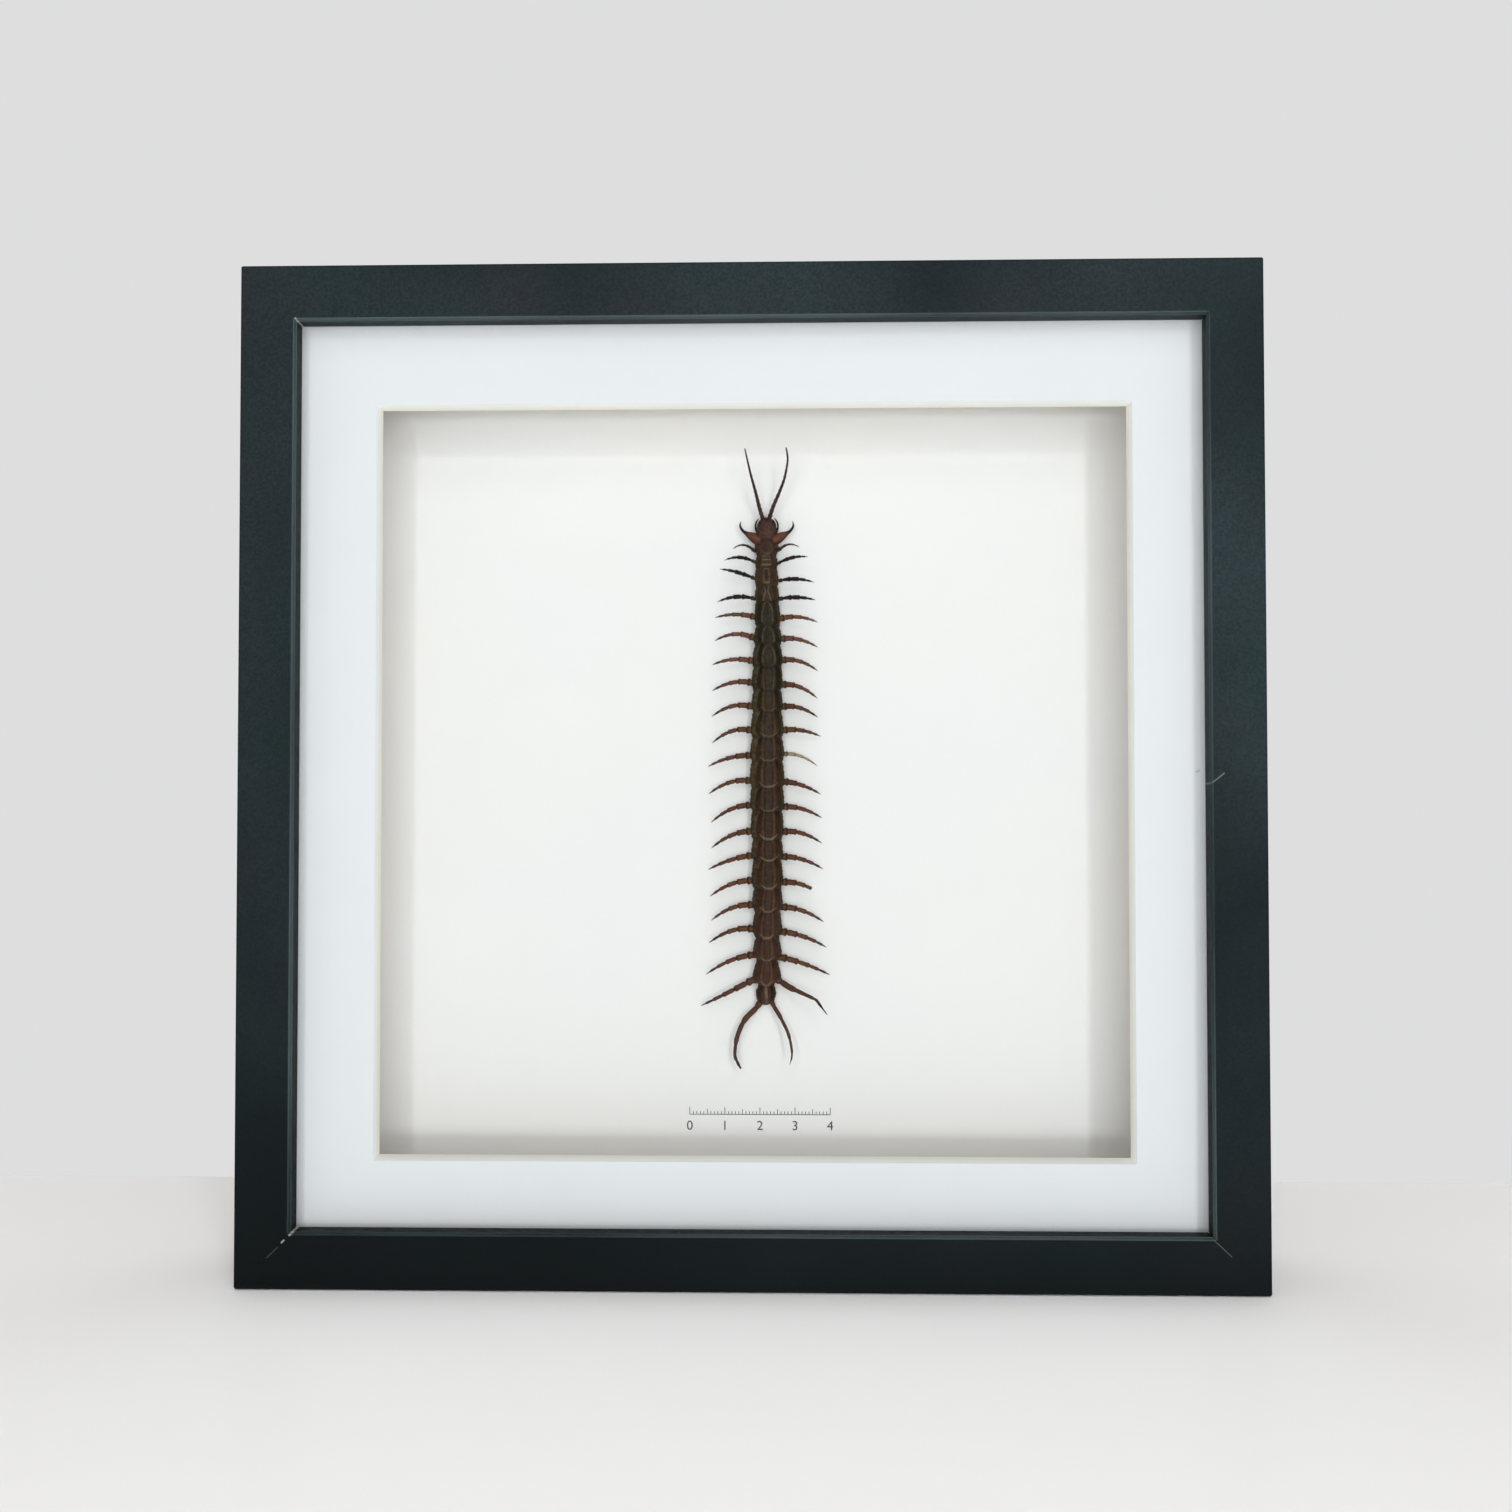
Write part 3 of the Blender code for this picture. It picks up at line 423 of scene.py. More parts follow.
zinc, tree, shader = new_finish("zinc-plated steel", Metallic=1.0)
here = places(tree)
spangle = add(tree, "TexVoronoi", {"Vector": here, "Scale": 700}).outputs["Color"]
tint = add(tree, "SeparateColor", {0: spangle}).outputs[0]
wear_and_highlight = cloudy(tree, places(tree, (1, 8, 8)), 900, 3.0)
steel = mixed(tree, tint, paint(186, 190, 194), paint(207, 209, 210))
steel = mixed(tree, between(tree, wear_and_highlight, 0.6, 0.8, 0.0, 0.4), steel, paint(150, 152, 154))
joined(tree, shader, steel, between(tree, wear_and_highlight, 0.3, 0.7, 0.28, 0.46), raised(tree, wear_and_highlight, 0.00002, 0.4))
dress(zinc, *(f"retaining_tab_{count}" for count in range(1, 9)))
dress(zinc, "hanger_plate", "hanger_screw_left", "hanger_screw_right")
print("back board, eight tabs and hanger dressed")

# %% [markdown]
# ## The animal's own measure
# Everything on the animal is told in millimetres as out to the right of its middle line, back from the front of
# its head, and height above the card. One function turns that into places in the frame. The dried body isn't
# quite straight, so its middle line wanders by a quarter of a millimetre.

# %% The animal's own measure
MIDDLE_RIGHT_MM = 4.5
# Heights on the animal count from the depth where the spacers end. The card's face lies just behind it.
HEIGHT_ZERO_MM = 10.3
CARD_FACE_MM = 10.6
HEAD_FRONT_MM = 211.3
TAIL_AT = 138.9
# How far back, and how far right there.
WANDER = ((0, 0), (15, -0.1), (33, 0.3), (48, 0.1), (90, 0.05), (110, 0.15), (128, 0), (138, -0.4))
LEANS = ((31, 0), (41, 0.45), (106, 0.45), (118, 0))


def on_card(points):
    """Places in metres of points told as out, back and height: across is out, up is less back, depth less height."""
    out, back, height = np.moveaxis(np.asarray(points, float), -1, 0)
    return np.stack([MIDDLE_RIGHT_MM + out, HEIGHT_ZERO_MM - height, HEAD_FRONT_MM - back], axis=-1) * MM


def wander(back):
    """How far right of straight the middle line is, by straight lines between its known places."""
    return np.interp(back, *zip(*WANDER))


def leans(back):
    """How far the plates sit right of the middle line, where the dried body leans over to its right."""
    return np.interp(back, *zip(*LEANS))


def eased(at, stops, values):
    """Reads values at their stops, going from each to the next by 3t² - 2t³, which is level at both ends."""
    at, stops, values = (np.asarray(part, float) for part in (at, stops, values))
    below = np.clip(np.searchsorted(stops, at, side="right") - 1, 0, len(stops) - 2)
    t = np.clip((at - stops[below]) / (stops[below + 1] - stops[below]), 0, 1)
    return values[below] + (values[below + 1] - values[below]) * t * t * (3 - 2 * t)


def hump(at, middle, spread):
    """A smooth bump, 1 at its middle and e to the minus one at its spread: the exponential of minus the square."""
    return np.exp(-(((np.asarray(at) - middle) / spread) ** 2))


def through(points, count):
    """Evenly stepped places on a smooth curve through the points.

    Each stretch is the Catmull-Rom cubic: at a point its slope is half the step between the neighbours.
    """
    points = np.asarray(points, float)
    padded = np.concatenate([2 * points[:1] - points[1:2], points, 2 * points[-1:] - points[-2:-1]])
    t = np.linspace(0, len(points) - 1, count)
    i = np.minimum(t.astype(int), len(points) - 2)
    f = (t - i)[:, None]
    before, start, end, after = (padded[i + step] for step in range(4))
    return 0.5 * (2 * start + (end - before) * f + (2 * before - 5 * start + 4 * end - after) * f**2
                  + (3 * start - before - 3 * end + after) * f**3)


def turned(count):
    """The angles of this many evenly spaced places round a circle, in radians."""
    return np.linspace(0, 2 * np.pi, count, endpoint=False)


print(f"tail {HEAD_FRONT_MM - TAIL_AT:.1f} mm and head {HEAD_FRONT_MM} mm above the ground")

# %% [markdown]
# ## Making a skin
# All shapes of the animal are one of two kinds: a skin of rings along a path, closed to a pole at each end, and
# a thin shell between an upper and a lower grid. Both are worked out as whole arrays. A closed mesh whose faces
# point outwards encloses a positive volume, so the sum of its little tetrahedra says if it must be turned.

# %% Making a skin
def make_piece(name, points, faces, material, tones):
    """A mesh piece with a colour at each point. points are on the card, faces a list of index arrays."""
    places_now = on_card(points)
    fans = [face[:, [0, i, i + 1]] for face in faces for i in range(1, face.shape[1] - 1)]
    triangles = np.concatenate(fans)
    a, b, c = (places_now[triangles[:, i]] for i in range(3))
    volume = np.einsum("ij,ij->i", a, np.cross(b, c)).sum() / 6
    step = 1 if volume > 0 else -1
    mesh = bpy.data.meshes.new(name)
    mesh.from_pydata(places_now.tolist(), [], [corners for face in faces for corners in face[:, ::step].tolist()])
    layer = mesh.color_attributes.new("tone", "FLOAT_COLOR", "POINT")
    layer.data.foreach_set("color", np.column_stack([tones, np.ones(len(tones))]).astype(np.float32).ravel())
    mesh.shade_smooth()
    mesh.validate()
    piece = placed(mesh, material)
    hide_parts("centipede")
    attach(piece, "root")
    print(f"{name}: {len(triangles)} triangles, {abs(volume) * 1e6:.2f} cm3")
    return piece


def ring_skins(rings, tones):
    """Points, faces and tones of skins given as skin x row x place round. Each row joins the next, and the end
    rows close to a pole at their middle."""
    skins, rows, count = rings.shape[:3]
    ends = [0, -1]
    points = np.concatenate([rings.reshape(skins, -1, 3), rings[:, ends].mean(2)], axis=1)
    shades = np.concatenate([tones.reshape(skins, -1, 3), tones[:, ends].mean(2)], axis=1)
    row, place = np.meshgrid(np.arange(rows - 1), np.arange(count), indexing="ij")
    after = (place + 1) % count
    low, high = row * count, (row + 1) * count
    quads = np.stack([low + place, low + after, high + after, high + place], -1)
    i = np.arange(count)
    j = (i + 1) % count
    first = np.stack([j, i, np.full(count, rows * count)], -1)
    last = np.stack([(rows - 1) * count + i, (rows - 1) * count + j, np.full(count, rows * count + 1)], -1)
    shift = (np.arange(skins) * (rows * count + 2))[:, None, None]
    fans = np.concatenate([first, last])
    faces = [(quads.reshape(1, -1, 4) + shift).reshape(-1, 4), (fans[None] + shift).reshape(-1, 3)]
    return points.reshape(-1, 3), faces, shades.reshape(-1, 3)


def tubes(paths, radii, count):
    """Rings round paths given as path x row. A ring's first axis is the path's direction crossed with the way up
    from the card, its second is that axis crossed with the direction, and its radius is the row's."""
    along = np.gradient(paths, axis=1)
    along /= np.linalg.norm(along, axis=-1, keepdims=True)
    across = np.cross(along, (0.0, 0.0, 1.0))
    across /= np.linalg.norm(across, axis=-1, keepdims=True)
    over = np.cross(across, along)
    angle = turned(count)[:, None]
    ring = across[..., None, :] * np.cos(angle) + over[..., None, :] * np.sin(angle)
    return paths[..., None, :] + radii[..., None, None] * ring


def shell(upper, lower, tones):
    """Points, faces and tones of closed shells between two grids given as shell x row x column."""
    shells, rows, columns = upper.shape[:3]
    size = rows * columns
    points = np.concatenate([upper.reshape(shells, size, 3), lower.reshape(shells, size, 3)], axis=1)
    shades = np.concatenate([tones.reshape(shells, size, 3)] * 2, axis=1)
    grid = np.arange(size).reshape(rows, columns)
    top = np.stack([grid[:-1, :-1], grid[:-1, 1:], grid[1:, 1:], grid[1:, :-1]], -1).reshape(-1, 4)
    rim = np.concatenate([grid[0, ::-1], grid[1:, 0], grid[-1, 1:], grid[-2:0:-1, -1]])
    rim_next = np.roll(rim, -1)
    wall = np.stack([rim, rim_next, rim_next + size, rim + size], -1)
    shift = (np.arange(shells) * 2 * size)[:, None, None]
    quads = np.concatenate([top, top[:, ::-1] + size, wall])
    return points.reshape(-1, 3), [(quads[None] + shift).reshape(-1, 4)], shades.reshape(-1, 3)


def tone_along(share, stops):
    """Colours from a few named ones at their shares of the way, mixed evenly between."""
    at, colours = zip(*stops)
    colours = np.array([paint(*colour)[:3] for colour in colours])
    return np.stack([np.interp(share, at, colours[:, i]) for i in range(3)], axis=-1)


print("skin helpers ready")

# %% [markdown]
# ## Chitin
# A centipede's armour is chitin. Dried, it is satin, mottled brown to olive, and pitted very finely. The broad
# colours differ from plate to plate and leg to leg, so each mesh carries them in its points, and the shader adds
# what is the same everywhere: blotches, a fine net of paler lines and the tooth of the surface.

# %% Chitin
def chitin(name, blotch, net, roughness):
    """Satin chitin in the mesh's own tones, darkened by blotches, with a share of paler net."""
    material, tree, shader = new_finish(name, **{"Specular IOR Level": 0.12})
    here = places(tree)
    own = add(tree, "Attribute", attribute_name="tone").outputs["Color"]
    patches = cloudy(tree, here, 900, 5.0, 0.65, 0.4)
    grains = cloudy(tree, here, 5200, 3.0, 0.6)
    dark = mixed(tree, between(tree, patches, 0.36, 0.5, blotch, 0.0), own, paint(24, 20, 15))
    cells = add(tree, "TexVoronoi", {"Vector": here, "Scale": 640}, feature="DISTANCE_TO_EDGE").outputs[0]
    lines = reckon(tree, "MULTIPLY", between(tree, cells, 0.02, 0.10, net, 0.0), between(tree, patches, 0.4, 0.6))
    netted = mixed(tree, lines, dark, paint(112, 104, 84))
    satin = between(tree, grains, 0.3, 0.7, roughness - 0.08, roughness + 0.1)
    pits = reckon(tree, "ADD", patches, reckon(tree, "MULTIPLY", grains, 0.5))
    joined(tree, shader, netted, satin, raised(tree, pits, 0.00012, 0.5))
    return material


plate_chitin = chitin("plate chitin", 0.5, 0.1, 0.45)
flank_chitin = chitin("flank chitin", 0.75, 0.35, 0.55)
limb_chitin = chitin("limb chitin", 0.3, 0.0, 0.42)
print("three kinds of chitin")

# %% [markdown]
# ## Trunk
# Under its plates the animal is a soft-skinned trunk, widest at each pair of legs and pinched between the
# segments. It is a loft of flattened rings along the middle line. Its skin dries in folds, which lie mostly
# along the flanks, so the ring's radius swings a little with place and angle there.

# %% Segments and trunk
# Each segment: where its rear edge is, where its legs are, width there, width of the waist behind, height.
SEGMENTS = np.array((
    (10.8, 8.4, 7.0, 6.0, 4.5), (14.3, 13.0, 6.6, 6.4, 4.5), (19.6, 17.7, 6.9, 6.6, 4.7),
    (23.8, 22.8, 7.1, 6.9, 4.9), (31.0, 28.8, 7.5, 7.2, 5.0), (36.4, 34.8, 8.1, 7.8, 5.2),
    (42.7, 40.9, 8.8, 8.5, 5.4), (49.3, 47.7, 9.0, 8.4, 5.5), (55.3, 54.0, 9.1, 8.6, 5.6),
    (62.7, 60.8, 9.6, 9.0, 5.7), (69.5, 67.7, 9.9, 9.4, 5.8), (76.9, 75.0, 10.1, 9.5, 5.8),
    (83.7, 82.1, 9.9, 9.1, 5.8), (91.8, 89.5, 9.6, 8.7, 5.7), (97.7, 96.5, 9.3, 8.4, 5.7),
    (105.7, 103.5, 9.2, 8.3, 5.6), (112.2, 110.6, 8.9, 7.7, 5.5), (119.7, 117.7, 8.6, 7.2, 5.3),
    (125.9, 124.6, 8.5, 6.4, 5.1), (133.0, 131.0, 8.3, 4.9, 4.8), (138.0, 135.5, 5.9, 5.0, 4.2)))
REAR, LEGS_AT, WIDTH, WAIST, HEIGHT = SEGMENTS.T
NUMBERS = np.arange(len(SEGMENTS))
NECK_AT, NECK_WIDTH, NECK_HEIGHT = 6.0, 5.2, 4.2
TAIL_WIDTH, TAIL_HEIGHT = 3.6, 3.2
# Tones of the plates and of the flanks: at which segment, counted from 0, and the colour there.
PLATE_TONES = ((0, (68, 47, 38)), (1, (60, 43, 26)), (2, (64, 46, 29)), (3, (56, 42, 26)), (4, (44, 40, 27)),
               (5, (41, 37, 25)), (6, (41, 35, 24)), (7, (49, 39, 26)), (9, (54, 41, 27)), (12, (55, 38, 25)),
               (15, (60, 40, 27)), (18, (66, 42, 28)), (20, (72, 46, 32)))
FLANK_TONES = ((0, (62, 46, 36)), (2, (64, 53, 34)), (4, (50, 46, 29)), (7, (58, 51, 32)), (10, (66, 55, 34)),
               (13, (60, 48, 31)), (16, (56, 43, 30)), (20, (58, 40, 29)))

body_stops = [NECK_AT, *np.column_stack([LEGS_AT, REAR]).ravel(), TAIL_AT]
body_widths = [NECK_WIDTH, *np.column_stack([WIDTH, WAIST]).ravel(), TAIL_WIDTH]


def body_width(back):
    """Full width of the trunk: widest at the legs, narrow behind each plate, eased between, with a notch there."""
    back = np.asarray(back, float)
    notch = hump(back[..., None], REAR + 0.3, 0.55).max(-1)
    return eased(back, body_stops, body_widths) * (1 - 0.06 * notch)


def body_height(back):
    """Height of the back above the card, by straight lines from segment to segment."""
    return np.interp(back, [NECK_AT, *LEGS_AT, TAIL_AT], [NECK_HEIGHT, *HEIGHT, TAIL_HEIGHT])


def trunk_rings(rows, count):
    """Flattened rings: across is the cosine and up the sine of the angle, each to a power below 1, which squares
    the circle off. The belly is flatter than the back. Folds swing the flank by a tenth of a millimetre."""
    back = np.linspace(NECK_AT, TAIL_AT, rows)[:, None]
    angle = turned(count)[None]
    across = np.sign(np.cos(angle)) * np.abs(np.cos(angle)) ** 0.8
    up = np.sign(np.sin(angle)) * np.abs(np.sin(angle)) ** 0.9
    folds = 0.1 * np.sin(back * 5.3 + 1.5 * np.sin(back * 1.7)) * np.cos(angle * 3)
    folds = folds + 0.06 * np.sin(back * 11 + angle * 2)
    half = (body_width(back) / 2 * 0.985 + folds * np.abs(np.cos(angle)) ** 2) * across
    tall = body_height(back) * np.where(up > 0, 0.42 * up + 0.44, 0.43 * up + 0.44)
    closing = np.clip(np.minimum(back - NECK_AT, TAIL_AT - back) / 1.2, 0, 1) ** 0.5
    half = half * (0.35 + 0.65 * closing)
    tall = body_height(back) * 0.44 + (tall - body_height(back) * 0.44) * (0.4 + 0.6 * closing)
    return np.stack([wander(back) + half, back + 0 * half, tall], axis=-1)


TRUNK_ROWS, TRUNK_ROUND = 420, 40
rings = trunk_rings(TRUNK_ROWS, TRUNK_ROUND)[None]
segment_now = np.interp(rings[..., 1], LEGS_AT, NUMBERS)
# Painted shade: the trunk is darker in the creases behind each plate and towards its outermost sides.
crease_shade = hump(rings[..., 1][..., None], REAR, 0.5).max(-1)[..., None]
outline = 1.2 - 0.75 * np.abs(np.cos(turned(TRUNK_ROUND)))[:, None] ** 8
tones = tone_along(segment_now, FLANK_TONES) * (1.1 - 0.5 * crease_shade) * outline
points, faces, tones = ring_skins(rings, tones)
make_piece("centipede_trunk", points, faces, flank_chitin, tones)

# %% [markdown]
# ## Back plates
# Each of the 21 leg-bearing segments has one hard plate on its back. A plate is a thin arched shell: it starts
# tucked under the plate in front, widens to its middle and ends in a raised, faintly bowed rim that catches the
# light as a pale arc. Two fine seams run along it, and its sides turn up in a narrow edge. All of this is
# height on one grid, where a goes from front to rear and b from left to right, so all plates come out at once.

# %% Back plates
PLATE_SHARE_OF_WIDTH = 0.83
OVERLAP_MM = 0.45
PLATE_THICKNESS_MM = 0.2
SEAM_AT = 0.29
ARC_TONE = (126, 109, 90)
# How strong the pale arc, a painted highlight on the raised rear rim, and the dark surround are on each plate.
PALE_ARCS = np.array((0.1, 0, 0, 0, 0.1, 0.1, 0.1, 0.15, 0.2, 0.35, 0.4, 0.6, 0.35, 0.75, 0.8, 0.65, 0.6, 0.7, 0.65,
                      0.7, 0.3))
DARK_SURROUND = np.array((0, 0, 0, 0.2, 0.9, 1, 1, 0.8, 0.6, 0.4, 0.2, 0.1, 0.15, 0.1, 0, 0, 0, 0, 0, 0, 0.2))


def plate_grids(rows, columns):
    """Upper and lower grids of the plates.

    Back is the front edge plus a times the length, bowed to the rear in the middle and drawn in at the corners.
    Out is b times the half width there. Height is the body's height times an arch, 1 - 0.3 b^2.4, times a
    slope that rises from the tucked front to the rear rim, with the seams cut in and the edges raised.
    """
    plate = NUMBERS[:, None, None]
    front = np.concatenate([[NECK_AT + 0.1], REAR[:-1] - OVERLAP_MM])[:, None, None]
    rear = (REAR + 0.2)[:, None, None]
    t = np.linspace(0, 1, rows)
    a = (0.5 * t + 0.5 * t * t * (3 - 2 * t))[None, :, None]
    b = np.linspace(-1, 1, columns)[None, None]
    side = np.abs(b)
    bowed = 0.42 * a**4 * (0.6 - side**2)
    corners = 0.55 * side**8 * ((1 - a) ** 5 - 1.2 * a**7)
    back = front + (rear - front) * a + bowed + corners
    narrow = 1 - 0.07 * (1 - a) ** 3 - 0.05 * a**9
    half = body_width(back) / 2 * PLATE_SHARE_OF_WIDTH * narrow
    slope = 0.93 + 0.07 * (1 - (1 - a) ** 3) + 0.012 * np.sin(np.pi * a)
    arch = 1 - 0.3 * side**2.4
    seamed = (plate > 0) & (plate < NUMBERS[-1])
    seams = 0.09 * hump(side, SEAM_AT - 0.03 * np.cos(np.pi * a), 0.035) * seamed
    edges = 0.10 * hump(side, 0.955, 0.04) * (plate > 2) + 0.07 * hump(a, 0.985, 0.03)
    dents = 0.05 * np.sin(b * 5 + plate * 2.1) * np.sin(a * 7 + b * 3)
    height = body_height(back) * arch * slope + 0.08 + edges - seams + dents
    upper = np.stack([wander(back) + leans(back) + b * half, back, height], axis=-1)
    lower = upper - np.array((0, 0, PLATE_THICKNESS_MM))
    return upper, lower, a + 0 * back, b + 0 * back


def plate_tones(a, b):
    """The plates' colours, from their own tone.

    Across a plate: a darker strip down the middle, a dark seam, a pale band, and again darker to the side,
    where the plate ends in a dark line and the olive of the flank. Along it: a dark front, which is painted
    shade under the plate in front, and a pale arc inside the rear rim whose ends curl forward, a painted
    highlight where the raised rim catches the light. The plates of the dark fore part have a dark surround.
    The first four plates have marks of their own.
    """
    which = np.broadcast_to(NUMBERS[:, None, None], a.shape)
    side = np.abs(b)
    tone = tone_along(which, PLATE_TONES)
    flank = tone_along(which, FLANK_TONES)
    own = np.sin(which * 2.3 + np.array((0.0, 1.9, 4.1))[:, None, None, None])
    banded = np.clip((which - 5) / 2, 0, 1)
    line_at = 0.36 + 0.08 * np.sin(np.pi * a) + 0.02 * own[0]
    lighter = banded * (1.0 + 0.2 * own[1] + 0.2 * np.sign(b) * own[2])
    lighter = lighter * hump(side, line_at, 0.07) * (0.5 + 0.5 * a)
    lighter = lighter - banded * (0.6 * hump(side, line_at - 0.15, 0.045) + 0.2 * hump(side, line_at + 0.22, 0.06))
    # Painted shade: the front of each plate is darker, under the rim of the plate in front.
    lighter = lighter - 0.25 * hump(side, 0, 0.15) * (0.6 + 0.4 * own[2]) - 0.6 * np.clip(1 - a / 0.16, 0, 1)
    lighter = lighter - banded * 0.35 * hump(a, 0.2, 0.16) * hump(side, 0.68, 0.2) * (1 + 0.5 * np.sign(b) * own[1])
    inside = np.clip((0.62 - np.maximum(side, 1.5 * np.abs(a - 0.53))) / 0.1, 0, 1)
    lighter = lighter + DARK_SURROUND[which] * (0.55 * inside - 0.45) - 0.25 * hump(side, 0.86, 0.04)
    # Painted highlight: the pale arc inside each rear rim, where the raised rim catches the light.
    pale = PALE_ARCS[which] * hump(a, 0.95 - 0.5 * side**3, 0.032) * np.clip((0.7 - side) / 0.14, 0, 1)
    box = hump(np.maximum(side / 0.27, np.abs(a - 0.5) / 0.33), 1, 0.13)
    bars = (hump(a, 0.22, 0.06) + hump(a, 0.48, 0.05) + hump(a, 0.8, 0.06)) * np.clip((0.55 - side) / 0.1, 0, 1)
    cross = hump(side, 0.12 + 0.55 * np.abs(a - 0.45), 0.06) * np.clip((0.5 - side) / 0.1, 0, 1)
    pale = pale + 0.6 * ((which == 1) * bars + (which == 2) * box + (which == 3) * cross)
    disc = (which == 0) * hump(np.hypot(b * 1.25, (a - 0.62) * 1.6), 0, 0.4)
    rise = np.clip((a - 0.12) / 0.55, 0, 1)
    arched = hump(side, 0.5 * np.sqrt(1 - (1 - rise) ** 2), 0.06) * (a > 0.1) * (a < 0.85)
    arched = np.isin(which, (4, 5, 6)) * arched
    pale = pale + 0.36 * arched + 0.22 * (which == 0) * hump(a, 0.9 - 0.5 * side**2, 0.05)
    pale = pale + 0.7 * (which == 20) * hump(b, 0.05 + 0.35 * (a - 0.5), 0.15) * hump(a, 0.5, 0.38)
    lighter = lighter - 0.45 * (which < 1) * np.clip((side - 0.7) / 0.2, 0, 1) - 0.4 * (which == 20) * (side > 0.3)
    lighter = lighter - 0.45 * np.isin(which, (2, 4, 5)) * hump(side, 0, 0.13) * hump(a, 0.55, 0.3)
    tone = tone * np.clip(1 + lighter - 0.4 * disc, 0.12, 2)[..., None]
    edge = np.clip((side - 0.88) / 0.06, 0, 1)[..., None]
    tone = tone * (1 - edge) + flank * edge
    return tone + np.clip(pale, 0, 1)[..., None] * (np.array(paint(*ARC_TONE)[:3]) - tone)


PLATE_ROWS, PLATE_COLUMNS = 34, 61
upper, lower, plate_a, plate_b = plate_grids(PLATE_ROWS, PLATE_COLUMNS)
points, faces, tones = shell(upper, lower, plate_tones(plate_a, plate_b))
plates = make_piece("centipede_back_plates", points, faces, plate_chitin, tones)
plates.data.set_sharp_from_angle(angle=math.radians(60))

# %% [markdown]
# ## Head
# The head is a rounded shield, broadest behind its middle, with a finely darker middle line at the rear and four
# small simple eyes at each front corner. It is a loft like the trunk, with an arched top and a flat underside.

# %% Head
# How far back from the head's front, and the width and height there.
HEAD_STOPS = (0.0, 0.35, 0.9, 1.8, 3.6, 5.6, 6.9)
HEAD_WIDTHS = (2.2, 3.5, 4.5, 5.35, 5.85, 5.7, 5.3)
HEAD_HEIGHTS = (2.9, 3.4, 3.8, 4.2, 4.45, 4.45, 4.3)
HEAD_TONES = ((0, (58, 41, 37)), (0.3, (70, 50, 44)), (0.6, (76, 53, 45)), (0.85, (80, 54, 46)), (1, (38, 27, 24)))
# The right eyes: back, out, height.
EYES = ((1.15, 1.75, 3.35), (1.5, 2.15, 3.3), (1.9, 1.85, 3.6), (2.2, 2.35, 3.3))
EYE_RADIUS = 0.2
EYE_TONE = (18, 14, 13)


def head_rings(rows, count):
    """Rings of an arched top, height times 1 - 0.42 of the share across to the power 2.6, over a flat bottom."""
    back = (np.linspace(0, 1, rows) ** 1.4 * HEAD_STOPS[-1])[:, None]
    angle = turned(count)[None]
    share = np.sign(np.cos(angle)) * np.abs(np.cos(angle)) ** 0.85
    half = np.interp(back, HEAD_STOPS, HEAD_WIDTHS) / 2
    top = np.interp(back, HEAD_STOPS, HEAD_HEIGHTS)
    arch = top * (1 - 0.42 * np.abs(share) ** 2.6) - 0.1 * hump(share, 0, 0.07) * np.clip((back - 3.5) / 3, 0, 1)
    bottom = 1.7 - 0.8 * (1 - share**2)
    height = np.where(np.sin(angle) >= 0, arch, bottom + 0 * arch)
    middle = (arch + bottom) / 2
    height = middle + (height - middle) * np.minimum(1, np.abs(np.sin(angle)) * 1.6) ** 0.6
    return np.stack([wander(back) + half * share, back + 0 * share, height], axis=-1)


HEAD_ROWS, HEAD_ROUND = 60, 44
rings = head_rings(HEAD_ROWS, HEAD_ROUND)[None]
tones = tone_along(rings[..., 1] / HEAD_STOPS[-1], HEAD_TONES)
middle_spot = hump(rings[..., 0], 0, 0.8) * hump(rings[..., 1], 6.2, 1.1)
width_here = np.interp(rings[..., 1], HEAD_STOPS, HEAD_WIDTHS)
rim_shade = 1.1 - 0.8 * np.clip(np.abs(rings[..., 0]) / width_here * 2, 0, 1) ** 6
points, faces, tones = ring_skins(rings, tones * ((1 - 0.45 * middle_spot) * rim_shade)[..., None])
make_piece("centipede_head", points, faces, plate_chitin, tones)

eye_at = np.array([(side * out, back, height) for side in (-1, 1) for back, out, height in EYES])
lift = np.linspace(-1, 1, 9)
eye_paths = eye_at[:, None] + lift[None, :, None] * np.array((0, 0.02, EYE_RADIUS))
eye_radii = np.broadcast_to(EYE_RADIUS * np.sqrt(np.clip(1 - lift**2, 0.01, 1)), eye_paths.shape[:2])
eye_round = np.stack([np.cos(turned(12)), np.sin(turned(12)), np.zeros(12)], axis=-1)
eye_rings = eye_paths[:, :, None] + eye_radii[..., None, None] * eye_round
points, faces, tones = ring_skins(eye_rings, np.broadcast_to(paint(*EYE_TONE)[:3], eye_rings.shape))
make_piece("centipede_eyes", points, faces, limb_chitin, tones)

# %% [markdown]
# ## Legs
# A leg is a chain of hard tubes that narrow to a claw: a squat root, then four long articles and the tip. Each
# article swells a little before its joint and is pinched at it. Every leg arches, so its line is the smooth
# curve of second degree through its root, its middle and its tip, and its radius is the taper times the joints.
# The first legs reach up from the card. One leg is thin and pale, and one is broken off at a blunt, dark end.

# %% Legs
# Each leg: how far out its tip is, then how far back its root, middle and tip are.
RIGHT_LEGS = (
    (9.3, 9.3, 8.2, 9.0), (11.8, 13.1, 11.9, 11.7), (13.5, 18.1, 18.0, 18.9), (13.9, 23.3, 23.2, 23.9),
    (14.5, 28.9, 28.8, 30.2), (14.5, 34.7, 35.2, 37.3), (14.5, 40.8, 41.4, 44.0), (14.4, 47.8, 48.7, 51.8),
    (14.5, 54.1, 54.6, 57.2), (15.3, 60.8, 61.0, 62.6), (14.3, 67.6, 68.3, 71.0), (15.3, 75.5, 76.6, 79.1),
    (15.6, 82.6, 83.3, 85.8), (15.6, 89.7, 90.2, 93.0), (15.9, 96.8, 97.6, 100.3), (15.5, 104.0, 104.7, 107.6),
    (16.1, 111.1, 112.1, 115.3), (16.9, 118.1, 119.4, 122.5), (17.9, 125.4, 127.2, 130.3))
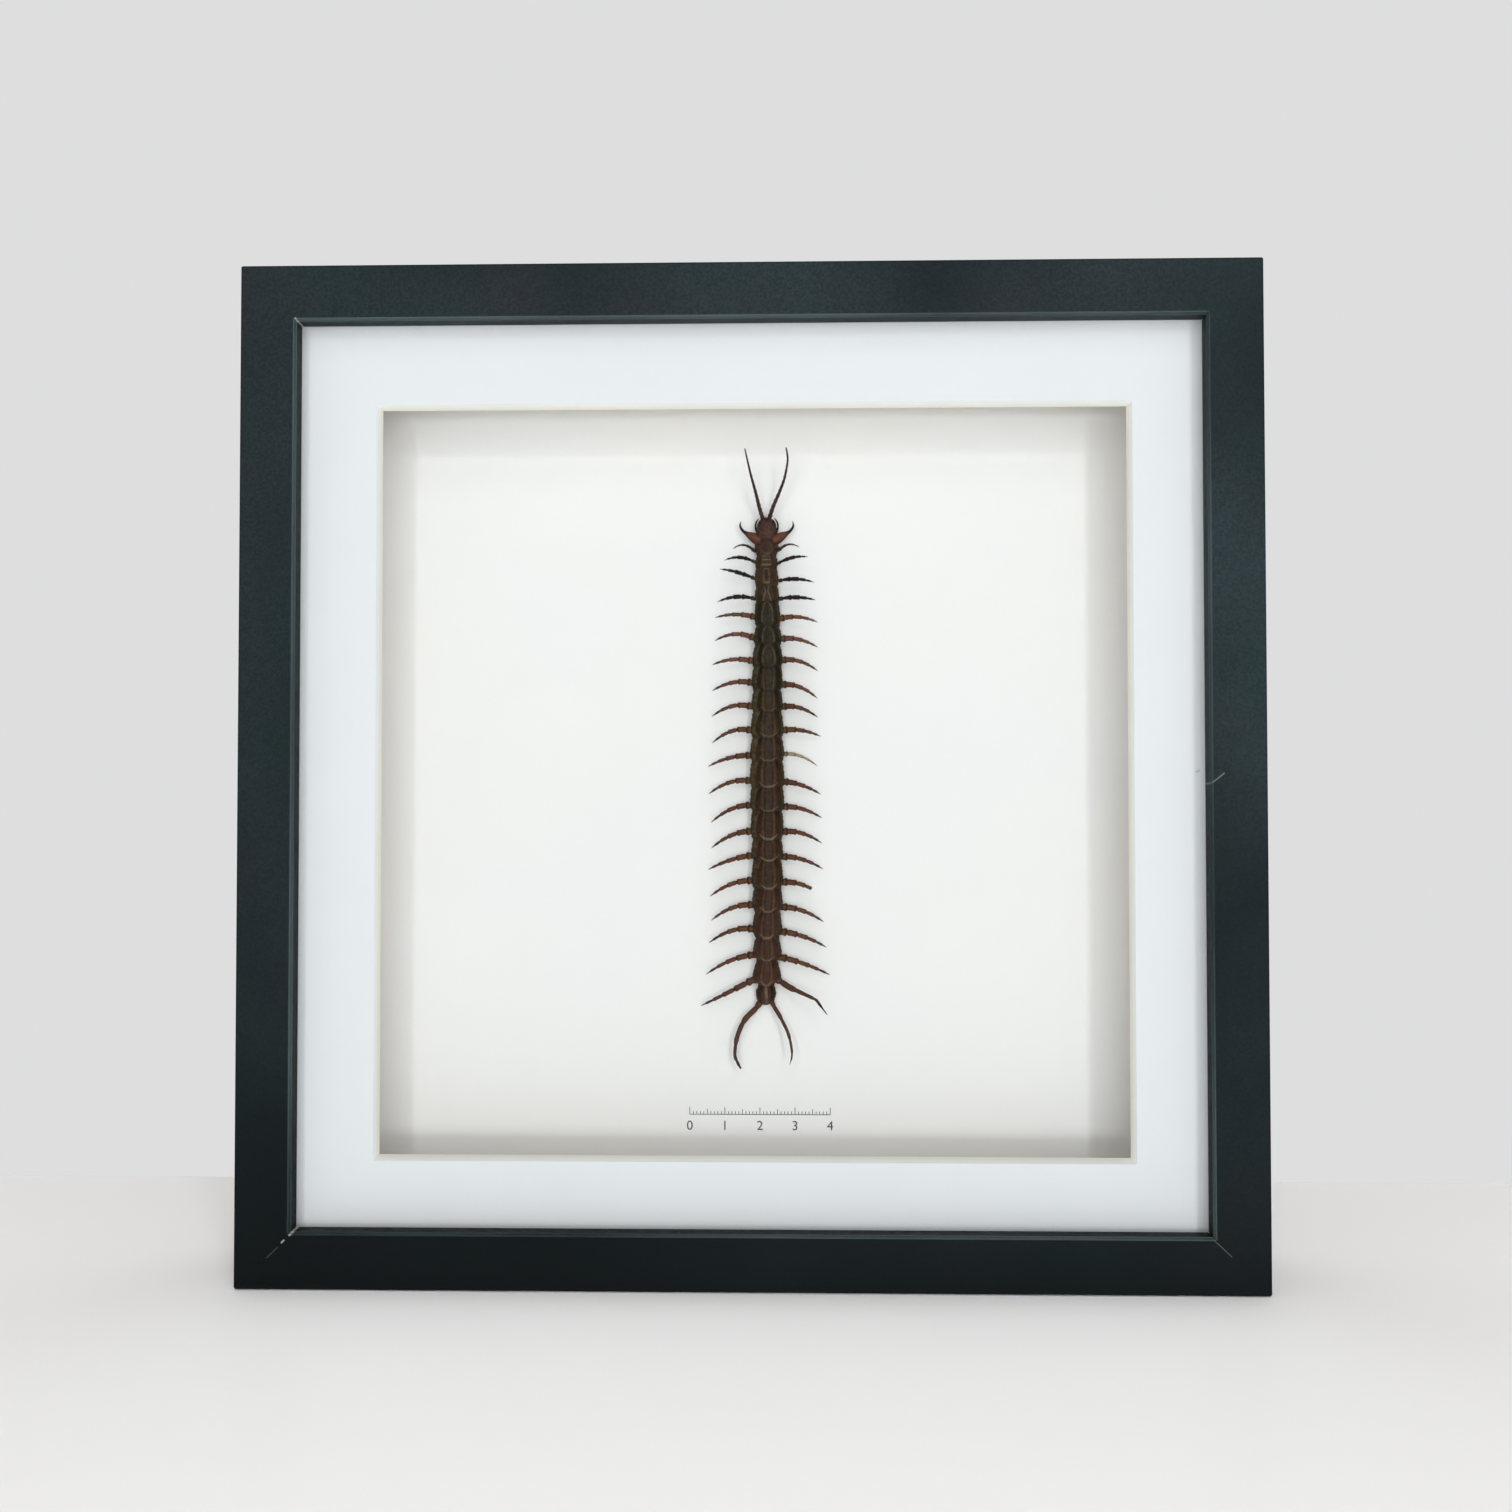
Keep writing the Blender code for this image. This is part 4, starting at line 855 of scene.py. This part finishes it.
LEFT_LEGS = (
    (9.6, 9.5, 8.3, 9.5), (12.0, 12.7, 11.8, 12.6), (13.3, 17.4, 16.0, 15.0), (14.1, 23.2, 23.0, 24.4),
    (14.7, 28.4, 28.0, 28.8), (14.8, 34.4, 33.6, 35.4), (15.6, 41.0, 40.8, 42.2), (15.6, 47.2, 47.4, 49.6),
    (15.7, 54.0, 54.1, 56.9), (15.6, 60.8, 61.2, 64.5), (16.8, 68.0, 68.8, 71.2), (16.6, 75.2, 75.8, 79.0),
    (15.9, 82.2, 83.4, 87.1), (15.8, 89.6, 90.8, 94.4), (16.7, 96.5, 97.8, 100.5), (16.2, 103.6, 104.6, 108.1),
    (15.8, 110.5, 111.3, 114.9), (16.5, 117.3, 117.8, 121.3), (17.3, 124.7, 126.3, 130.2), (18.8, 131.9, 135.4, 139.1))
LEG_THICKNESS = (0.50, 0.70, 0.80, 0.86, 0.92, 0.96, 0.97, 1, 1, 1, 1, 1, 1, 1.03, 1.02, 1.05, 1.06, 1.08, 1.04, 1.05)
# How thick a leg is at each share of the way from its root; the part before 0 is inside the body.
LEG_TAPER = ((-0.12, 0.86), (0.0, 0.9), (0.1, 0.86), (0.25, 0.74), (0.4, 0.62), (0.6, 0.52), (0.8, 0.35), (0.93, 0.23),
             (1.0, 0.04))
# The legs of the second to fourth pair are thin at the root and thickest halfway.
SPINDLE_TAPER = ((-0.12, 0.66), (0.0, 0.64), (0.15, 0.55), (0.28, 0.7), (0.45, 0.76), (0.58, 0.6), (0.75, 0.44),
                 (0.9, 0.27), (1.0, 0.04))
JOINTS = (0.1, 0.34, 0.57, 0.76, 0.91)
# Two right legs, by their pair counted from 0: one is thinner by this factor, one ends at this share of the way.
THIN_LEG, THIN_BY = 10, 0.68
BROKEN_LEG, BROKEN_AT = 15, 0.74
ROOT_SHARE = -0.12
LIMB_ROUND = 16
# Heights above the card: at the root, how much the knee is above root and tip, at a low tip and at the highest.
ROOT_LEVEL, KNEE_RISE, LOW_TIP, HIGH_TIP = 2.1, 1.7, 2.4, 5.2
DARK, SALMON, RUSSET = (36, 27, 24), (102, 65, 50), (92, 58, 40)
THIN_LEG_TONE, ROOT_TONE, TIP_TONE = (150, 132, 104), (84, 72, 44), (58, 47, 41)
LEG_TONES = ((0, (62, 43, 38)), (1, DARK), (3, DARK), (4, SALMON), (6, SALMON), (7, RUSSET), (12, (86, 54, 38)),
             (16, (92, 58, 38)), (19, (86, 52, 38)))


def bent(first, middle, last, share):
    """The curve of second degree through its first, middle and last values, this share of the way along."""
    return first + (last - first) * share - 2 * (first - 2 * middle + last) * share * (1 - share)


def jointed(share, joints=JOINTS):
    """What joints do to a limb's radius: 28 in 100 thicker just before each, 40 in 100 thinner at it."""
    near = share[..., None] - np.array(joints)
    return 1 + 0.28 * hump(near, -0.035, 0.028).sum(-1) - 0.4 * hump(near, 0.01, 0.018).sum(-1)


def leg_paths(rows):
    """Paths and radii of all 39 plain legs, as leg x row."""
    legs = np.array(RIGHT_LEGS + LEFT_LEGS)
    rights, lefts = len(RIGHT_LEGS), len(LEFT_LEGS)
    pair = np.concatenate([np.arange(rights), np.arange(lefts)])
    side = np.repeat((1, -1), (rights, lefts))[:, None]
    tip_out, root, middle, tip = legs.T[..., None]
    last = np.where((pair == BROKEN_LEG) & (side[:, 0] > 0), BROKEN_AT, 1.0)[:, None]
    share = ROOT_SHARE + (last - ROOT_SHARE) * np.linspace(0, 1, rows)[None]
    tip_level = LOW_TIP + (HIGH_TIP - LOW_TIP) * np.clip(1 - pair / 8, 0, 1)[:, None]
    knee = (ROOT_LEVEL + tip_level) / 2 + KNEE_RISE
    root_out = wander(root) + side * WIDTH[pair][:, None] / 2
    out = root_out + (side * tip_out - root_out) * share
    back = bent(root, middle, tip, np.maximum(share, 0))
    level = bent(ROOT_LEVEL, knee, tip_level, np.maximum(share, -0.03))
    spindle = ((pair > 0) & (pair < 4))[:, None]
    taper = np.where(spindle, np.interp(share, *zip(*SPINDLE_TAPER)), np.interp(share, *zip(*LEG_TAPER)))
    radius = taper * jointed(share) * np.array(LEG_THICKNESS)[pair][:, None]
    radius = radius * np.where((pair == THIN_LEG)[:, None] & (side > 0), THIN_BY, 1.0)
    blunt = np.where(last < 1, np.clip((last - share) / 0.02, 0.0, 1) ** 0.5, 1.0)
    return np.stack([out, back, level], axis=-1), radius * np.maximum(blunt, 0.15), share, pair, side


def limb_outline():
    """Painted shade round a limb: lighter along its back, darker to its sides, as light falls on a round tube, which
    draws its outline.
    """
    return 1.3 - np.abs(np.cos(turned(LIMB_ROUND))) ** 2.5


def leg_tones(share, pair, side):
    """Yellow-olive at the root, the leg's own colour along it, darker at each joint, dark grey at the tip."""
    own = tone_along(pair, LEG_TONES)[:, None]
    thin = ((pair == THIN_LEG)[:, None] & (side > 0))[..., None]
    pale, root, tip = (np.array(paint(*tone)[:3]) for tone in (THIN_LEG_TONE, ROOT_TONE, TIP_TONE))
    own = np.where(thin, pale, own)
    at_root = np.clip(1 - (share - 0.02) / 0.16, 0, 1)[..., None] * np.where(pair > 14, 0.25, 0.65)[:, None, None]
    at_tip = np.clip((share - 0.68) / 0.28, 0, 1)[..., None] * 0.8
    tone = own * (1 - at_root) + root * at_root
    tone = tone * (1 - at_tip) + tip * at_tip
    dark_joints = 1.1 - 0.75 * hump(share[..., None] - np.array(JOINTS), 0.006, 0.022).sum(-1)
    broken_end = np.where((pair == BROKEN_LEG)[:, None] & (side > 0), np.clip((share - 0.66) / 0.08, 0, 1), 0)
    return tone * (dark_joints * (1 - 0.75 * broken_end))[..., None]


LEG_ROWS = 96
paths, radii, share, pair, side = leg_paths(LEG_ROWS)
rings = tubes(paths, radii, LIMB_ROUND)
# Each leg's tones are multiplied by painted shade round the tube.
tones = leg_tones(share, pair, side)[:, :, None] * limb_outline()[:, None]
points, faces, tones = ring_skins(rings, tones)
make_piece("centipede_legs", points, faces, limb_chitin, tones)
print(f"{len(paths)} legs along one curve each")

# %% [markdown]
# ## Limbs told by their joints
# The last legs, one leg with a sharp elbow, the antennae, the poison claws and the palps bend more freely. Each
# is told by the places of its joints and the radius there, and a smooth curve goes through them all. An antenna
# is a string of short articles, each wider at its far end.

# %% Limbs told by their joints
# Each joint: out, back, height, radius.
RIGHT_LEG_20 = ((0.9, 130.9, 2.1, 0.92), (3.6, 132.0, 2.4, 0.92), (6.3, 133.6, 3.8, 0.82), (9.6, 134.9, 5.6, 0.6),
                (13.2, 136.4, 7.0, 0.42), (14.0, 136.9, 7.2, 0.41), (14.6, 137.7, 7.4, 0.38), (16.9, 140.7, 8.2, 0.1))
RIGHT_LEG_21 = ((0.6, 136.2, 1.9, 0.6), (2.0, 139.3, 2.2, 0.62), (3.7, 142.0, 3.2, 0.54), (5.9, 146.3, 4.6, 0.43),
                (6.9, 150.2, 5.6, 0.35), (7.0, 152.8, 5.9, 0.25), (6.4, 155.1, 6.1, 0.05))
LEFT_LEG_21 = ((-0.8, 136.2, 1.9, 0.82), (-3.0, 139.6, 2.1, 0.82), (-6.3, 143.0, 2.8, 0.74), (-8.4, 147.6, 3.4, 0.62),
               (-9.1, 152.5, 3.6, 0.46), (-8.3, 155.0, 3.5, 0.40), (-7.4, 156.6, 3.5, 0.26))
RIGHT_ANTENNA = ((0.5, 1.2, 3.1, 0.66), (1.8, -2.6, 4.2, 0.58), (3.7, -6.7, 5.8, 0.47), (5.1, -10.2, 7.4, 0.39),
                 (6.0, -14.6, 9.2, 0.30), (5.9, -16.5, 10.0, 0.27), (5.6, -18.2, 10.8, 0.20))
LEFT_ANTENNA = ((-0.9, 1.2, 3.1, 0.66), (-2.0, -2.4, 4.2, 0.58), (-3.15, -6.8, 5.9, 0.45), (-4.5, -11.6, 7.8, 0.34),
                (-5.4, -15.4, 9.4, 0.26), (-6.0, -18.0, 10.6, 0.17))
POISON_CLAW = ((1.6, 6.8, 2.2, 1.7), (3.4, 5.8, 2.1, 1.5), (4.9, 4.95, 2.0, 1.02), (6.0, 4.3, 2.0, 0.58),
               (6.7, 3.8, 2.0, 0.42), (7.4, 2.9, 2.1, 0.33), (7.6, 2.0, 2.2, 0.23), (7.4, 1.0, 2.3, 0.04))
PALP = ((2.3, 4.8, 1.9, 0.36), (2.95, 3.6, 1.9, 0.34), (3.2, 2.5, 2.0, 0.28), (3.0, 1.3, 2.1, 0.23),
        (2.2, 0.1, 2.2, 0.08))
LAST_JOINTS = (0.16, 0.36, 0.57, 0.77, 0.92)
BEADS = 18
THINNEST_MM = 0.03
# Tones along each kind of limb: at which share of the way, and the colour there.
LAST_LEG_TONES = ((0, (76, 50, 38)), (0.3, (84, 54, 40)), (0.75, (76, 52, 42)), (1, (44, 34, 30)))
ANTENNA_TONES = ((0, (62, 40, 35)), (0.35, (66, 42, 37)), (0.7, (60, 46, 42)), (1, (44, 38, 36)))
CLAW_TONES = ((0, (86, 54, 44)), (0.3, (96, 60, 48)), (0.42, (66, 40, 33)), (0.52, (32, 24, 22)), (1, (20, 17, 17)))
PALP_TONES = ((0, (56, 38, 34)), (0.6, (34, 26, 24)), (1, (24, 20, 20)))


def jointed_limbs(name, limbs, rows, radius_pattern, stops):
    """Tubes through several limbs' joints. The pattern is a factor on the radius at each share of the way."""
    share = np.linspace(0, 1, rows)
    pattern = radius_pattern(share)
    curves = np.stack([through(limb, rows) for limb in limbs])
    rings = tubes(curves[..., :3], np.maximum(curves[..., 3], THINNEST_MM) * pattern, LIMB_ROUND)
    tones = tone_along(share, stops)[None, :, None] * limb_outline()[:, None] + 0 * rings
    dark = 1 - 1.5 * (1 - np.minimum(pattern, 1.0))
    points, faces, shades = ring_skins(rings, tones * dark[None, :, None, None])
    make_piece(name, points, faces, limb_chitin, shades)


def mirrored(limb):
    """The same joints on the left."""
    return [(-out, back, height, radius) for out, back, height, radius in limb]


def leg_joints(share):
    """The last legs' joints, half as strong as the others'."""
    return 0.5 + 0.5 * jointed(share, LAST_JOINTS)


def claw_joints(share):
    """Two slight narrowings."""
    return 1 - 0.1 * hump(share, 0.4, 0.03) - 0.1 * hump(share, 0.55, 0.03)


def palp_joint(share):
    """One slight narrowing halfway."""
    return 1 - 0.12 * hump(share, 0.5, 0.05)


def beads(share):
    """Eighteen articles, each a saw tooth that swells to its far end and drops back, softened to a wave."""
    turn = share * BEADS * 2 * np.pi
    return 1 + 0.13 * np.sin(turn) - 0.06 * np.sin(2 * turn) - 0.05


jointed_limbs("centipede_elbow_leg", [RIGHT_LEG_20], 110, leg_joints, LAST_LEG_TONES)
jointed_limbs("centipede_last_legs", [RIGHT_LEG_21, LEFT_LEG_21], 110, leg_joints, LAST_LEG_TONES)
jointed_limbs("centipede_antennae", [RIGHT_ANTENNA, LEFT_ANTENNA], 150, beads, ANTENNA_TONES)
jointed_limbs("centipede_poison_claws", [POISON_CLAW, mirrored(POISON_CLAW)], 60, claw_joints, CLAW_TONES)
jointed_limbs("centipede_palps", [PALP, mirrored(PALP)], 36, palp_joint, PALP_TONES)

# %% [markdown]
# ## Printed scale rule
# Under the animal the card carries a small printed scale: a line of four centimetres with its ticks and plain
# numbers. Print has no thickness to speak of, so the ticks are boxes a hundredth of a millimetre thick, and the
# numbers are text turned into a mesh before it is put in its place.

# %% Printed scale rule
RULE_MIDDLE_MM = (2.4, 41.0)
RULE_LENGTH_MM = 40
LINE_MM = 0.2
CENTIMETRE_TICK_MM, HALF_TICK_MM, TICK_MM = 2.0, 1.5, 0.9
NUMBER_HEIGHT_MM = 2.7
NUMBERS_BELOW_MM = 4.4
PRINT_AT_MM = CARD_FACE_MM - 0.03
PRINT_DEPTH_MM = 0.01

ink, tree, shader = new_finish("dark grey print", Roughness=0.7)
spread = cloudy(tree, places(tree), 4000, 2.0)
joined(tree, shader, mixed(tree, between(tree, spread, 0.3, 0.7), paint(52, 58, 64), paint(74, 80, 86)))


def printed_boxes(name, boxes):
    """Thin boxes told as left, right, low and high in millimetres on the card: eight corners each, six sides."""
    left, right, low, high = np.array(boxes, float).T
    corners = np.array([(x, y, z) for z in (0, 1) for y in (0, 1) for x in (0, 1)])
    x = np.where(corners[:, 0], right[:, None], left[:, None])
    y = PRINT_AT_MM + PRINT_DEPTH_MM * corners[:, 1] + 0 * x
    z = np.where(corners[:, 2], high[:, None], low[:, None])
    sides = np.array([(0, 1, 5, 4), (3, 2, 6, 7), (2, 0, 4, 6), (1, 3, 7, 5), (4, 5, 7, 6), (2, 3, 1, 0)])
    faces = (sides[None] + 8 * np.arange(len(left))[:, None, None]).reshape(-1, 4)
    mesh = bpy.data.meshes.new(name)
    mesh.from_pydata((np.stack([x, y, z], axis=-1).reshape(-1, 3) * MM).tolist(), [], faces.tolist())
    piece = placed(mesh, ink)
    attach(piece, "root")


def printed_number(text, across, up):
    """A number as a mesh: it is laid out flat, turned upright to face the front, and then moved to its place."""
    curve = bpy.data.curves.new("number", "FONT")
    curve.body = text
    curve.align_x = "CENTER"
    curve.size = NUMBER_HEIGHT_MM * MM * 1.4
    curve.extrude = PRINT_DEPTH_MM * MM / 2
    holder = bpy.data.objects.new("number", curve)
    bpy.context.scene.collection.objects.link(holder)
    bpy.context.view_layer.update()
    mesh = bpy.data.meshes.new_from_object(holder.evaluated_get(bpy.context.evaluated_depsgraph_get()))
    bpy.data.objects.remove(holder)
    upright = Matrix.Rotation(math.pi / 2, 4, "X")
    mesh.transform(Matrix.Translation(Vector((across, PRINT_AT_MM, up)) * MM) @ upright)
    mesh.name = "printed_number_" + text
    mesh.materials.clear()
    piece = placed(mesh, ink)
    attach(piece, "root")


left_end = RULE_MIDDLE_MM[0] - RULE_LENGTH_MM / 2
line_at, half = RULE_MIDDLE_MM[1], LINE_MM / 2
rule = [(left_end - 0.09, left_end + RULE_LENGTH_MM + 0.09, line_at - half, line_at + half)]
for tick in range(RULE_LENGTH_MM + 1):
    length = CENTIMETRE_TICK_MM if tick % 10 == 0 else HALF_TICK_MM if tick % 5 == 0 else TICK_MM
    rule.append((left_end + tick - half, left_end + tick + half, line_at + half, line_at + length))
printed_boxes("printed_scale", rule)
for centimetre in range(RULE_LENGTH_MM // 10 + 1):
    printed_number(str(centimetre), left_end + 10 * centimetre, line_at - NUMBERS_BELOW_MM)
print(f"rule of {RULE_LENGTH_MM} mm printed")

# %% [markdown]
# ## Floor and light
# The frame stands on a plain pale floor. The shade that the mount throws on the card slopes evenly and then ends
# in a step on each side, which is what a light does whose bright rim is a rectangle. So strip boxes stand along
# the four sides of one, two of them below, with a soft box high above. They are kept out of the pane's
# reflections, as a photographer would do with black flags, and the low ones shine through the floor. One more
# lamp lights the floor alone, which sends that light up into the box. The rest is a glow, faint in front and
# brighter from behind.

# %% Floor and light
# How far the floor reaches to the sides and the front, and behind, where its edge shows in the picture.
FLOOR_REACH, FLOOR_BEHIND, FLOOR_LEVEL = 1.5, 0.1, -0.0003

floor_finish, tree, shader = new_finish("pale floor", Roughness=0.06, **{"Specular IOR Level": 0.01})
shade = cloudy(tree, places(tree), 3, 2.0)
joined(tree, shader, mixed(tree, shade, paint(236, 236, 236), paint(240, 240, 240)))
floor_mesh = bpy.data.meshes.new("floor")
edges = ((-FLOOR_REACH, -FLOOR_REACH), (FLOOR_REACH, -FLOOR_REACH), (FLOOR_REACH, FLOOR_BEHIND),
         (-FLOOR_REACH, FLOOR_BEHIND))
floor_mesh.from_pydata([(x, y, FLOOR_LEVEL) for x, y in edges], [], [(0, 1, 2, 3)])
floor = placed(floor_mesh, floor_finish)
floor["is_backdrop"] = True

MIDDLE = Vector((0, 0, 0.138))
# Each soft box: azimuth, elevation, width and height, watts.
SOFT_BOXES = (
    ("strip right", 22.5, 9.75, (0.24, 1.36), 9.7),
    ("strip left", -15, 9.75, (0.20, 1.36), 6.5),
    ("strip above", 3.75, 25.5, (1.63, 0.20), 4.3),
    ("strip below", 3.75, -6, (1.63, 0.24), 8.2),
    ("strip lower", 3.75, -12, (1.63, 0.24), 3.4),
    ("high box", 4, 42, (1.20, 0.60), 4.6),
)
BOX_DISTANCE = 2.4
# The floor's own box: width and height, how far from the middle, watts.
FLOOR_BOX = ((3.0, 3.0), Vector((0, -0.5, 1.9)), 27)
GLOW = (1.0, 0.97, 0.93, 1.0)
GLOW_IN_FRONT, GLOW_BEHIND = 0.14, 0.55


def linked_to(name, target, state):
    """A collection that tells a lamp to leave out one object (EXCLUDE) or to deal with it alone (INCLUDE)."""
    group = bpy.data.collections.new(name)
    group.objects.link(target)
    group.collection_objects[0].light_linking.link_state = state
    return group


def soft_box(name, size, watts, away, receivers, blockers=None):
    """An area lamp of this width and height, this far away from the middle and facing it."""
    lamp = bpy.data.lights.new(name, "AREA")
    lamp.shape = "RECTANGLE"
    lamp.size, lamp.size_y = size
    lamp.energy = watts
    holder = bpy.data.objects.new(name, lamp)
    holder.location = MIDDLE + away
    holder.rotation_euler = away.to_track_quat("Z", "Y").to_euler()
    holder.light_linking.receiver_collection = receivers
    holder.light_linking.blocker_collection = blockers
    bpy.context.scene.collection.objects.link(holder)


not_the_pane = linked_to("all but the pane", nodes["glass_pane"], "EXCLUDE")
not_the_floor = linked_to("all but the floor", floor, "EXCLUDE")
for name, azimuth, elevation, size, watts in SOFT_BOXES:
    turn, rise = math.radians(azimuth), math.radians(elevation)
    away = Vector((math.sin(turn) * math.cos(rise), -math.cos(turn) * math.cos(rise), math.sin(rise)))
    soft_box(name, size, watts, away * BOX_DISTANCE, not_the_pane, not_the_floor)
size, away, watts = FLOOR_BOX
soft_box("floor box", size, watts, away, linked_to("floor only", floor, "INCLUDE"))

world = bpy.data.worlds.new("glow")
bpy.context.scene.world = world
world.use_nodes = True
sky = world.node_tree
sky.nodes.clear()
rearward = add(sky, "SeparateXYZ", {0: add(sky, "TexCoord").outputs["Generated"]}).outputs[1]
strength = between(sky, rearward, -0.05, 0.3, GLOW_IN_FRONT, GLOW_BEHIND)
fill = add(sky, "Background", {"Color": GLOW, "Strength": strength})
backdrop = add(sky, "Background", {"Color": paint(222, 222, 223), "Strength": 1.0})
seen = add(sky, "LightPath").outputs["Is Camera Ray"]
glow = add(sky, "MixShader", {0: seen, 1: fill.outputs[0], 2: backdrop.outputs[0]})
sky.links.new(glow.outputs[0], add(sky, "OutputWorld").inputs[0])
print(f"{len(SOFT_BOXES)} soft boxes and the floor's own")

# %% [markdown]
# ## Size
# The dressed model should fill the same box as the imported one, so both boxes are written down to be compared.

# %% Size
low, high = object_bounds()
for end, before, after in (("low", cad_low, low), ("high", cad_high, high)):
    print(f"{end} corner moved by", [round((b - a) / MM, 2) for a, b in zip(before, after)], "mm")
